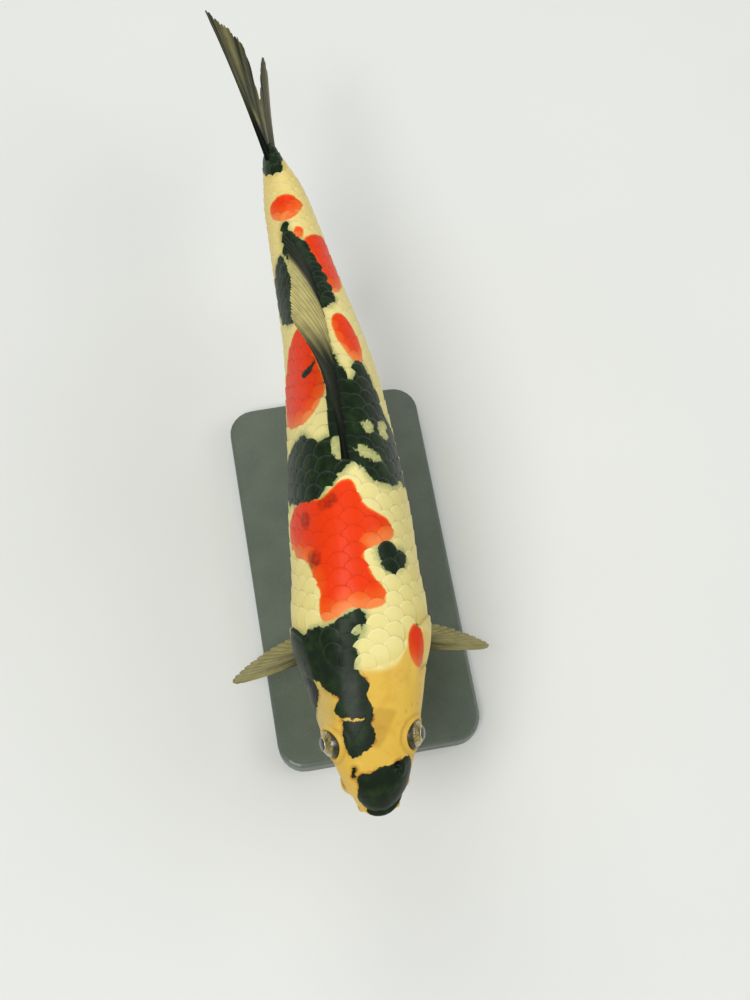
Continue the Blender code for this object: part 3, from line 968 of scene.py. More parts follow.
def make_piece(name: str, points: Array, faces: Faces, material: Material) -> Piece:
    """Makes a smooth mesh object at the origin.

    Args:
        name: The piece's name.
        points: Its points in metres.
        faces: Corner numbers of each face.
        material: Its finish.

    Returns:
        The object, in the scene.
    """
    mesh = bpy.data.meshes.new(name)
    mesh.from_pydata(points.tolist(), [], faces)
    mesh.polygons.foreach_set("use_smooth", np.ones(len(mesh.polygons), bool))
    mesh.materials.append(material)
    mesh.update()
    piece = bpy.data.objects.new(name, mesh)
    bpy.context.collection.objects.link(piece)
    return piece


def mesh_fix(piece: Piece) -> None:
    """Turns a closed piece's faces outwards.

    Args:
        piece: The piece.
    """
    bpy.ops.object.select_all(action="DESELECT")
    bpy.context.view_layer.objects.active = piece
    piece.select_set(True)
    bpy.ops.object.mode_set(mode="EDIT")
    bpy.ops.mesh.select_all(action="SELECT")
    bpy.ops.mesh.normals_make_consistent(inside=False)
    bpy.ops.object.mode_set(mode="OBJECT")
    piece.select_set(False)


def give_values(piece: Piece, **values: Array) -> None:
    """Stores a number for each point under each name, for the finish to read."""
    for name, numbers in values.items():
        attribute = piece.data.attributes.new(name, "FLOAT", "POINT")
        attribute.data.foreach_set("value", np.asarray(numbers, np.float32).ravel())


def give_map(piece: Piece, places: Array) -> None:
    """Lays a bake map on a piece, from one place for each face corner."""
    layer = piece.data.uv_layers.new(name="OFBake")
    layer.data.foreach_set("uv", np.asarray(places, np.float32).ravel())


def corner_points(piece: Piece) -> Array:
    """Reads the point number of each face corner.

    Args:
        piece: A piece.

    Returns:
        The numbers.
    """
    numbers = np.empty(len(piece.data.loops), np.int32)
    piece.data.loops.foreach_get("vertex_index", numbers)
    return numbers


# -------------------------- finishes


def srgb(*screen: float) -> Colour:
    """A colour for a shader from its red, green and blue on a screen, 0 to 255."""
    shares = [value / 255.0 for value in screen]
    return (*(t / 12.92 if t <= 0.04045 else ((t + 0.055) / 1.055) ** 2.4 for t in shares), 1.0)


class Wiring:
    """Adds and joins the nodes of one tree."""

    def __init__(self, tree: bpy.types.NodeTree) -> None:
        """Starts with a tree's nodes as they are."""
        self.tree = tree

    def node(self, kind: str, **settings: object) -> Node:
        """Adds a node.

        Args:
            kind: Its type.
            settings: Its properties and their values.

        Returns:
            The node.
        """
        made = self.tree.nodes.new(kind)
        for name, value in settings.items():
            setattr(made, name, value)
        return made

    def feed(self, source: object, target: Socket) -> None:
        """Links a socket, or sets a plain value."""
        if isinstance(source, Socket):
            self.tree.links.new(source, target)
        else:
            target.default_value = source

    def feed_all(self, node: Node, inputs: dict[str | int, object]) -> Node:
        """Feeds a node's inputs, by their names or numbers, and gives the node back."""
        for name, source in inputs.items():
            self.feed(source, node.inputs[name])
        return node

    def sum(self, operation: str, *terms: object) -> Socket:
        """A math node of an operation over terms."""
        made = self.node("ShaderNodeMath", operation=operation)
        return self.feed_all(made, dict(enumerate(terms))).outputs[0]

    def times(self, first: object, second: object) -> Socket:
        """Product of two terms."""
        return self.sum("MULTIPLY", first, second)

    def plus(self, first: object, second: object) -> Socket:
        """Sum of two terms."""
        return self.sum("ADD", first, second)

    def scaled(self, value: object, factor: object, start: object) -> Socket:
        """A value times a factor, added to a start."""
        return self.sum("MULTIPLY_ADD", value, factor, start)

    def ramp(self, value: object, low: float, high: float, first: float = 0.0, last: float = 1.0) -> Socket:
        """A smooth rise of a value from low to high, clamped, with its first and last result."""
        made = self.node("ShaderNodeMapRange", interpolation_type="SMOOTHSTEP")
        return self.feed_all(made, dict(enumerate((value, low, high, first, last)))).outputs[0]

    def mix(self, share: object, first: object, second: object, blend: str = "MIX") -> Socket:
        """Two colours mixed by the share of the second."""
        made = self.node("ShaderNodeMix", data_type="RGBA", blend_type=blend)
        return self.feed_all(made, {0: share, 6: first, 7: second}).outputs[2]

    def noise(self, scale: float, detail: float = 2.0, roughness: float = 0.5,
              place: object = None) -> Socket:
        """Noise over a place, the piece's own unless another is given, of a scale per unit of it."""
        inputs = {"Scale": scale, "Detail": detail, "Roughness": roughness, "Vector": place or self.place()}
        return self.feed_all(self.node("ShaderNodeTexNoise"), inputs).outputs["Fac"]

    def place(self) -> Socket:
        """The piece's own place, in metres."""
        return self.node("ShaderNodeTexCoord").outputs["Object"]

    def value(self, name: str) -> Socket:
        """A number stored on the mesh."""
        return self.node("ShaderNodeAttribute", attribute_name=name).outputs["Fac"]

    def group(self, tree: bpy.types.NodeTree, **inputs: object) -> Node:
        """A node group with its inputs fed."""
        return self.feed_all(self.node("ShaderNodeGroup", node_tree=tree), inputs)


def new_group(name: str, inputs: dict[str, float], outputs: dict[str, str]) -> tuple[Wiring, Node, Node]:
    """Starts a shader group.

    Args:
        name: Its name.
        inputs: Float inputs and their defaults.
        outputs: Outputs and their socket types.

    Returns:
        Its wiring, its input node and its output node.
    """
    tree = bpy.data.node_groups.new(name, "ShaderNodeTree")
    for label, start in inputs.items():
        tree.interface.new_socket(label, in_out="INPUT", socket_type="NodeSocketFloat").default_value = start
    for label, kind in outputs.items():
        tree.interface.new_socket(label, in_out="OUTPUT", socket_type=kind)
    wiring = Wiring(tree)
    return wiring, wiring.node("NodeGroupInput"), wiring.node("NodeGroupOutput")


@dataclass(frozen=True)
class Palette:
    """The fish's colours."""

    ivory: Colour = srgb(235, 223, 150)
    cream: Colour = srgb(214, 194, 106)
    ochre: Colour = srgb(220, 180, 72)
    red: Colour = srgb(234, 57, 1)
    crimson: Colour = srgb(186, 40, 2)
    orange: Colour = srgb(242, 108, 24)
    amber: Colour = srgb(244, 156, 84)
    shade: Colour = srgb(156, 166, 104)
    rust: Colour = srgb(168, 84, 22)
    black: Colour = srgb(15, 31, 11)
    slate: Colour = srgb(38, 62, 25)


class PigmentGroup:
    """Shared shader group that lays black and red over the pale ground."""

    def __init__(self, palette: Palette) -> None:
        """Builds the group.

        Args:
            palette: The colours that it lays.
        """
        wiring, given, out = new_group(
            "koi_pigment", {"Sumi": -6.0, "Hi": -6.0, "Sashi": 6.0, "Ochre": 0.0, "Deep": 0.0, "Fray": 1.0},
            {"Color": "NodeSocketColor", "Black": "NodeSocketFloat", "Red": "NodeSocketFloat"})
        self.tree = wiring.tree
        fray = wiring.scaled(wiring.noise(900.0, 3.0), 1.6, -0.8)
        fray = wiring.times(fray, given.outputs["Fray"])
        broad = wiring.noise(60.0, 2.0)
        sumi = wiring.plus(given.outputs["Sumi"], fray)
        hi = wiring.scaled(fray, 0.45, given.outputs["Hi"])
        black = wiring.ramp(sumi, -0.18, 0.22)
        red = wiring.ramp(hi, -0.3, 0.3)
        warmth = wiring.scaled(broad, 0.3, given.outputs["Ochre"])
        warmth = wiring.ramp(warmth, 0.15, 1.15)
        # This share turns the ivory to cream and the red to crimson: painted shade at covered scale roots,
        # down the flanks and on skin under the coat, with random tone and deeper red on red skin.
        pale = wiring.mix(given.outputs["Deep"], palette.ivory, palette.cream)
        pale = wiring.mix(wiring.ramp(sumi, -2.0, 0.1, 0.0, 0.85), pale, palette.shade)
        pale = wiring.mix(warmth, pale, palette.ochre)
        rust = wiring.times(wiring.ramp(sumi, -1.2, -0.1, 0.0, 0.6), warmth)
        rust = wiring.times(rust, wiring.ramp(wiring.noise(170.0, 2.0), 0.46, 0.62))
        pale = wiring.mix(rust, pale, palette.rust)
        scarlet = wiring.mix(wiring.ramp(hi, 0.1, 0.9), palette.orange, palette.red)
        front = wiring.scaled(wiring.noise(420.0, 2.0), 1.4, given.outputs["Sashi"])
        scarlet = wiring.mix(wiring.ramp(front, 3.6, 0.4, 0.0, 0.55), scarlet, palette.orange)
        scarlet = wiring.mix(wiring.ramp(front, 1.0, -2.4, 0.0, 0.6), scarlet, palette.amber)
        scarlet = wiring.mix(wiring.times(given.outputs["Deep"], 0.5), scarlet, palette.crimson)
        bloom = wiring.ramp(wiring.noise(260.0, 3.0), 0.4, 0.8, 0.0, 0.7)
        ink = wiring.mix(bloom, palette.black, palette.slate)
        colour = wiring.mix(red, pale, scarlet)
        colour = wiring.mix(black, colour, ink)
        wiring.feed_all(out, {"Color": colour, "Black": black, "Red": red})


class GrainGroup:
    """Shared shader group for the fine grain of wet skin."""

    def __init__(self) -> None:
        """Builds the group."""
        outputs = {"Height": "NodeSocketFloat", "Gloss": "NodeSocketFloat"}
        wiring, _, out = new_group("wet_grain", {}, outputs)
        self.tree = wiring.tree
        fine = wiring.noise(2600.0, 2.0)
        pits = wiring.node("ShaderNodeTexVoronoi")
        wiring.feed_all(pits, {"Scale": 620.0, "Vector": wiring.place()})
        pores = wiring.ramp(pits.outputs["Distance"], 0.05, 0.3)
        wiring.feed_all(out, {"Height": wiring.scaled(fine, 0.35, pores),
                              "Gloss": wiring.scaled(wiring.noise(160.0, 3.0), 0.22, -0.11)})


def start_material(name: str) -> tuple[Material, Wiring, Node]:
    """Starts a material.

    Args:
        name: Its name.

    Returns:
        The material, its wiring and its shader node.
    """
    material = bpy.data.materials.new(name)
    material.use_nodes = True
    wiring = Wiring(material.node_tree)
    return material, wiring, material.node_tree.nodes["Principled BSDF"]


def add_bump(wiring: Wiring, shader: Node, height: object, distance: float, strength: float) -> None:
    """Feeds a height of 0 to 1 or so, which stands for a distance in metres, to a shader's normal."""
    inputs = {"Distance": distance, "Strength": strength, "Height": height}
    wiring.feed(wiring.feed_all(wiring.node("ShaderNodeBump"), inputs).outputs[0], shader.inputs["Normal"])


def markings_on(wiring: Wiring, pigment: PigmentGroup, **inputs: object) -> Node:
    """Places the group of markings, fed by the values on the mesh and the inputs given."""
    stored = {name: wiring.value(name.lower()) for name in ("Sumi", "Hi", "Sashi", "Ochre")}
    return wiring.group(pigment.tree, **stored, **inputs)


@dataclass(frozen=True)
class SkinFinish:
    """Bare wet skin of the head, and what shows between the scales, with painted shade in its folds and
    under the scales.
    """

    roughness: float = 0.46
    coat: float = 0.06

    def material(self, pigment: PigmentGroup, grain: GrainGroup) -> Material:
        """Builds the material from the shared groups.

        Args:
            pigment: The shared group of the markings.
            grain: The shared group of the skin's grain.

        Returns:
            The material.
        """
        material, wiring, shader = start_material("koi_skin")
        # The deep value holds painted shade on the skin under the scales and a deeper red in the red.
        colours = markings_on(wiring, pigment, Deep=wiring.value("deep"))
        surface = wiring.group(grain.tree)
        mottle = wiring.ramp(wiring.noise(150.0, 4.0, 0.6), 0.48, 0.72, 0.0, 0.22)
        colour = wiring.mix(mottle, colours.outputs["Color"], srgb(206, 164, 104), "MULTIPLY")
        shadow = wiring.times(wiring.value("crease"), 0.8)
        colour = wiring.mix(shadow, colour, srgb(150, 118, 78), "MULTIPLY")
        wiring.feed_all(shader, {
            "Base Color": colour, "Roughness": wiring.plus(surface.outputs["Gloss"], self.roughness),
            "Coat Weight": self.coat, "Coat Roughness": 0.2, "Specular IOR Level": 0.16,
            "Subsurface Weight": 0.08, "Subsurface Radius": (1.0, 0.45, 0.25), "Subsurface Scale": 0.002})
        add_bump(wiring, shader, surface.outputs["Height"], 0.00012, 0.5)
        return material


@dataclass(frozen=True)
class ScaleFinish:
    """Thin overlapping scales, with growth lines, a clearer margin, and painted shade at their covered roots
    and down the flanks.
    """

    roughness: float = 0.44
    coat: float = 0.06

    def material(self, pigment: PigmentGroup, grain: GrainGroup) -> Material:
        """Builds the material from the shared groups.

        Args:
            pigment: The shared group of the markings.
            grain: The shared group of the skin's grain.

        Returns:
            The material.
        """
        material, wiring, shader = start_material("koi_scales")
        rim = wiring.value("rim")
        root = wiring.value("root")
        tone = wiring.value("tone")
        # Painted shade towards each scale's covered root, plus a random tone, then painted shade down the
        # flanks from the side value.
        shade = wiring.scaled(tone, 0.35, wiring.ramp(root, 0.75, 0.1))
        deep = wiring.scaled(shade, 0.5, wiring.value("side"))
        colours = markings_on(wiring, pigment, Deep=deep, Fray=0.8)
        edge = wiring.times(wiring.ramp(rim, 0.8, 0.98), wiring.ramp(root, 0.4, 0.8))
        bare = wiring.sum("SUBTRACT", 1.0, colours.outputs["Red"])
        clear = wiring.times(edge, wiring.times(bare, 0.15))
        lighter = wiring.mix(clear, colours.outputs["Color"], srgb(246, 242, 214))
        dark_edge = wiring.mix(wiring.times(edge, 0.08), colours.outputs["Color"], srgb(120, 136, 120))
        colour = wiring.mix(colours.outputs["Black"], lighter, dark_edge)
        cloud = wiring.ramp(wiring.noise(500.0, 3.0), 0.3, 0.65, 0.3, 0.66)
        smudge = wiring.times(wiring.value("smudge"), cloud)
        colour = wiring.mix(smudge, colour, srgb(112, 100, 70), "MULTIPLY")
        surface = wiring.group(grain.tree)
        wiring.feed_all(shader, {
            "Base Color": colour, "Roughness": wiring.plus(surface.outputs["Gloss"], self.roughness),
            "Coat Weight": self.coat, "Coat Roughness": 0.2, "Specular IOR Level": 0.12})
        rings = wiring.sum("SINE", wiring.times(rim, 46.0))
        rays = wiring.sum("SINE", wiring.times(wiring.value("spoke"), 22.0))
        rays = wiring.times(rays, wiring.ramp(root, 0.45, 0.9))
        lines = wiring.scaled(rings, 0.35, wiring.times(rays, 0.5))
        pore = wiring.times(wiring.value("pore"), 3.0)
        add_bump(wiring, shader, wiring.plus(lines, pore), 0.00006, 0.6)
        return material


@dataclass(frozen=True)
class FinFinish:
    """Smoky translucent web between solid rays."""

    web_alpha: float = 0.68
    roughness: float = 0.5

    def material(self, grain: GrainGroup) -> Material:
        """Builds the material; the mesh says where rays, black and pale lie.

        Args:
            grain: The shared group of the skin's grain.

        Returns:
            The material.
        """
        material, wiring, shader = start_material("koi_fin")
        ray = wiring.value("ray")
        dark = wiring.value("dark")
        streak = wiring.ramp(wiring.noise(230.0, 3.0), 0.35, 0.7)
        web = wiring.mix(streak, srgb(204, 191, 120), srgb(180, 169, 102))
        bone = wiring.mix(streak, srgb(214, 202, 138), srgb(192, 182, 120))
        pale = wiring.mix(ray, web, bone)
        ink = wiring.mix(ray, srgb(28, 38, 17), srgb(12, 19, 9))
        cover = wiring.sum("MAXIMUM", wiring.times(ray, 0.75), wiring.times(dark, 0.9))
        cover = wiring.sum("MAXIMUM", cover, wiring.value("foot"))
        surface = wiring.group(grain.tree)
        wiring.feed_all(shader, {
            "Base Color": wiring.mix(dark, pale, ink),
            "Alpha": wiring.ramp(cover, 0.0, 0.9, self.web_alpha, 1.0),
            "Roughness": wiring.plus(surface.outputs["Gloss"], self.roughness),
            "Coat Weight": 0.03, "Specular IOR Level": 0.1})
        joints = wiring.sum("SINE", wiring.times(wiring.value("along"), 210.0))
        height = wiring.times(joints, wiring.times(ray, 0.6))
        add_bump(wiring, shader, wiring.plus(height, surface.outputs["Height"]), 0.00008, 0.5)
        return material


@dataclass(frozen=True)
class EyeFinish:
    """Wet eyeball: black pupil, brassy iris mottled with black, and a dark outer ring."""

    pupil: float = 25.0
    iris: float = 58.0

    def material(self) -> Material:
        """Builds the material from each point's angle off the pupil.

        Returns:
            The material.
        """
        material, wiring, shader = start_material("koi_eye")
        polar = wiring.value("polar")
        streak = wiring.scaled(wiring.noise(1500.0, 3.0), 1.0, wiring.value("upper"))
        grain = wiring.ramp(wiring.noise(900.0, 3.0), 0.3, 0.7)
        brass = wiring.mix(grain, srgb(184, 164, 84), srgb(118, 106, 50))
        brass = wiring.mix(wiring.ramp(streak, 0.75, 1.2, 0.0, 0.85), brass, srgb(30, 34, 22))
        ring = wiring.mix(wiring.ramp(polar, self.pupil + 0.5, self.pupil + 3.0), srgb(220, 204, 130), brass)
        colour = wiring.mix(wiring.ramp(polar, self.pupil - 0.8, self.pupil + 0.8), srgb(6, 7, 7), ring)
        smoke = wiring.ramp(wiring.noise(700.0, 2.0), 0.35, 0.65)
        rim = wiring.mix(smoke, srgb(66, 58, 34), srgb(34, 34, 24))
        colour = wiring.mix(wiring.ramp(polar, self.iris - 4.0, self.iris + 2.0), colour, rim)
        metal = wiring.ramp(polar, self.pupil, self.pupil + 3.0)
        metal = wiring.times(metal, wiring.ramp(polar, self.iris, self.iris - 8.0))
        wiring.feed_all(shader, {
            "Base Color": colour, "Metallic": wiring.times(metal, 0.3), "Roughness": 0.35,
            "Coat Weight": wiring.ramp(polar, self.iris + 6.0, self.iris - 6.0, 0.05, 1.0),
            "Coat Roughness": 0.03})
        return material


@dataclass(frozen=True)
class LacquerFinish:
    """Satin grey-green lacquer of the stand's base."""

    colour: Colour = srgb(88, 98, 84)

    def material(self) -> Material:
        """Builds the material.

        Returns:
            The material.
        """
        material, wiring, shader = start_material("stand_lacquer_finish")
        mottle = wiring.ramp(wiring.noise(90.0, 3.0), 0.3, 0.7)
        colour = wiring.mix(mottle, self.colour, srgb(80, 90, 77))
        speck = wiring.ramp(wiring.noise(2200.0, 1.0), 0.62, 0.7)
        wiring.feed_all(shader, {
            "Base Color": wiring.mix(wiring.times(speck, 0.25), colour, srgb(128, 136, 120)),
            "Roughness": wiring.scaled(wiring.noise(300.0, 3.0), 0.14, 0.36), "Coat Weight": 0.2})
        add_bump(wiring, shader, wiring.noise(1400.0, 2.0), 0.00005, 0.4)
        return material


@dataclass(frozen=True)
class SteelFinish:
    """Brushed steel of the rods, the brushing round them."""

    colour: Colour = srgb(176, 178, 178)

    def material(self) -> Material:
        """Builds the material.

        Returns:
            The material.
        """
        material, wiring, shader = start_material("stand_steel_finish")
        stretch = wiring.node("ShaderNodeMapping")
        wiring.feed_all(stretch, {"Scale": (60.0, 60.0, 5200.0), "Vector": wiring.place()})
        lines = wiring.noise(1.0, 3.0, place=stretch.outputs[0])
        wiring.feed_all(shader, {
            "Base Color": wiring.mix(wiring.ramp(lines, 0.3, 0.7), self.colour, srgb(140, 143, 144)),
            "Metallic": 1.0, "Roughness": wiring.scaled(lines, 0.2, 0.24)})
        add_bump(wiring, shader, lines, 0.00003, 0.35)
        return material


@dataclass(frozen=True)
class FloorFinish:
    """Plain pale matt floor."""

    def material(self) -> Material:
        """Builds the material.

        Returns:
            The material.
        """
        material, wiring, shader = start_material("floor_finish")
        wiring.feed_all(shader, {
            "Base Color": wiring.mix(wiring.noise(8.0, 2.0), srgb(226, 227, 222), srgb(220, 221, 216)),
            "Roughness": 0.8, "Specular IOR Level": 0.2})
        return material


# -------------------------- sub-assemblies


@dataclass
class Skin:
    """One skin over the whole body, from the lips and feelers to the tail's root."""

    form: BodyForm
    unwrap: Unwrap
    markings: Markings
    ground: Ground
    coat_depth: float = 0.35
    columns: int = 288
    head_end: float = 68.0
    head_step: float = 0.5
    trunk_step: float = 1.6
    end: float = 249.6
    mouth: Mouth = Mouth()
    gill: GillCover = GillCover()
    nape: Nape = Nape()
    nostril: Nostril = Nostril()
    pores: Pores = Pores()
    eye: EyeSeat = EyeSeat()
    barbels: tuple[Barbel, ...] = (Barbel(38.0, 7.0, 0.75), Barbel(76.0, 13.0, 0.95))
    barbel_arc: float = 14.0

    def stations(self) -> Array:
        """Lays out the rings, closest on the snout and wider behind the head.

        Returns:
            Stations.
        """
        swing = np.arange(0.06, math.pi / 2, 0.05)
        snout = self.form.snout_start + self.form.snout_rounding * (1 - np.cos(swing))
        head = np.arange(snout[-1] + self.head_step, self.head_end, self.head_step)
        trunk = np.arange(self.head_end, self.form.length, self.trunk_step)
        tail = np.array([246.0, 247.0, 248.0, 248.8, 249.3, self.end])
        return np.concatenate([snout, head, trunk, tail])

    def inset(self, station: Array, angle: Array, arc: Array) -> Array:
        """How deep the skin lies under the plain form.

        Args:
            station: Stations.
            angle: Angles round the ring.
            arc: Arcs.

        Returns:
            Depths.
        """
        across = self.gill.across(angle)
        start = np.where(across > 1.0, self.nape.station(arc), self.gill.edge(across))
        return 0.03 + self.coat_depth * rise(-1.0, 3.0, station - start)

    def shaped(self, station: Array, angle: Array, arc: Array) -> Array:
        """Shapes the skin with all its relief.

        Args:
            station: Stations.
            angle: Angles round the ring.
            arc: Arcs.

        Returns:
            Points, (..., 3).
        """
        points = self.form.point(station, angle)
        normals = self.form.normal(station, angle)
        height = self.gill.relief(station, angle) * rise(26.0, 34.0, station)
        height += self.nostril.relief(station, arc) * rise(8.5, 10.5, station)
        height += self.pores.relief(station, arc) * rise(10.0, 14.0, station)
        height += self.eye.relief(self.form, points)
        height -= self.inset(station, angle, arc)
        moved = points + normals * height[..., None]
        near = station < self.mouth.reach
        moved[near] = self.mouth.shape(self.form, points[near], normals[near], height[near], station[near])
        return moved

    def build(self, site: Site, finish: Material) -> Piece:
        """Makes the skin and its feelers as one mesh.

        Args:
            site: Where the part stands.
            finish: The skin's material.

        Returns:
            The piece.
        """
        rings = self.stations()
        share = np.linspace(-1.0, 1.0, self.columns, endpoint=False) + 1.0 / self.columns
        station = np.repeat(rings[:, None], self.columns, axis=1)
        arc = share[None, :] * self.unwrap.half(rings)[:, None]
        angle = self.unwrap.angle(station, arc)
        points = self.shaped(station, angle, arc).reshape(-1, 3)
        station, angle, arc = station.ravel(), angle.ravel(), arc.ravel()
        crease = self.creases(points, station, angle, arc)
        count = len(points)
        faces = band_faces(len(rings), self.columns, closed=True)
        faces += fan_faces(0, self.columns, count) + fan_faces(count - self.columns, self.columns, count + 1)
        points = np.vstack([points, points[:self.columns].mean(axis=0), points[-self.columns:].mean(axis=0)])
        station = np.append(station, [rings[0], rings[-1]])
        arc = np.append(arc, [0.0, 0.0])
        flat = self.unwrap.flat(station, arc)
        body = len(points)
        pairs = [(side, barbel) for side in Side for barbel in self.barbels]
        for number, (side, barbel) in enumerate(pairs):
            tube, tube_faces = barbel.tube(self.form, self.mouth.upper, side)
            faces += [[corner + len(points) for corner in face] for face in tube_faces]
            points = np.vstack([points, tube])
            order = np.arange(len(tube))
            strip = [0.93 + 0.015 * number + 0.008 * (order % 2), 0.02 + 0.3 * (order / len(tube))]
            flat = np.vstack([flat, np.stack(strip, -1)])
            station = np.append(station, np.full(len(tube), self.mouth.upper.back))
            arc = np.append(arc, np.full(len(tube), side.value * self.barbel_arc))
        crease = np.append(crease, np.zeros(len(points) - count))
        piece = make_piece("koi_skin", site.metres(points), faces, finish)
        mesh_fix(piece)
        give_values(piece, **self.colours(points, station, arc, body), crease=crease)
        self.lay_map(piece, flat)
        return piece

    def colours(self, points: Array, station: Array, arc: Array, body: int) -> dict[str, Array]:
        """Measures the markings at the skin's points.

        Args:
            points: The points, those of the feelers last.
            station: Their stations.
            arc: Their arcs.
            body: Number of points before the feelers'.

        Returns:
            The values that the finish reads, by name.
        """
        over_slit = points[:, 2] - self.form.swim_height - self.mouth.line(station)
        sumi = self.markings.depth(Pigment.SUMI, station, arc)
        sumi -= 8.0 * rise(0.2, -0.8, over_slit) * rise(17.0, 14.0, station)
        sumi[body:] = -2.0
        hi = self.markings.depth(Pigment.HI, station, arc)
        # Painted shade on the skin behind the nape, where the scales cover it, and a deeper red in the red
        # patches.
        deep = np.maximum(0.8 * rise(50.0, 62.0, station), 0.9 * rise(-1.0, 1.0, hi))
        return {"sumi": sumi, "hi": hi, "sashi": self.markings.sashi(station, arc),
                "ochre": self.ground.warmth(station, arc), "deep": deep}

    def creases(self, points: Array, station: Array, angle: Array, arc: Array) -> Array:
        """Share of shadow in the folds, pits and slits, and of the tan smudge on the crown.

        Args:
            points: Points of the skin, (n, 3).
            station: Their stations.
            angle: Their angles.
            arc: Their arcs.

        Returns:
            Shares.
        """
        mouth = bell(points[:, 2] - self.form.swim_height - self.mouth.line(station), 0.5)
        found = np.maximum(self.gill.crease(station, angle), 0.9 * mouth * rise(14.5, 11.0, station))
        found = np.maximum(found, -0.5 * self.nostril.relief(station, arc))
        found = np.maximum(found, -1.6 * self.pores.relief(station, arc))
        for side in Side:
            beyond = self.eye.beyond(self.form, side, points)
            found = np.maximum(found, 0.8 * bell(beyond, 0.5) + 0.3 * bell(beyond - 1.85, 0.5))
        tan = 0.36 * rise(-0.9, 0.9, self.markings.depth(Pigment.TAN, station, arc))
        temple = 0.4 * rise(-9.0, -14.0, arc) * rise(-40.0, -26.0, arc) * rise(24.0, 31.0, station)
        temple *= rise(46.0, 38.0, station)
        return np.clip(np.maximum(found, np.maximum(tan, temple)), 0.0, 1.0)

    def lay_map(self, piece: Piece, flat: Array) -> None:
        """Lays the unwrap on the skin, cut along the belly.

        Args:
            piece: The skin.
            flat: Place of each point in the unwrap.
        """
        places = flat[corner_points(piece)]
        starts = np.empty(len(piece.data.polygons), np.int32)
        totals = np.empty(len(piece.data.polygons), np.int32)
        piece.data.polygons.foreach_get("loop_start", starts)
        piece.data.polygons.foreach_get("loop_total", totals)
        across = places[:, 1]
        span = np.maximum.reduceat(across, starts) - np.minimum.reduceat(across, starts)
        across[(np.repeat(span, totals) > 0.6) & (across < 0.5)] += 0.98
        give_map(piece, places)


@dataclass(frozen=True)
class Row:
    """One row of scales: how many rows above the lateral line, and on which side."""

    side: Side
    above: int


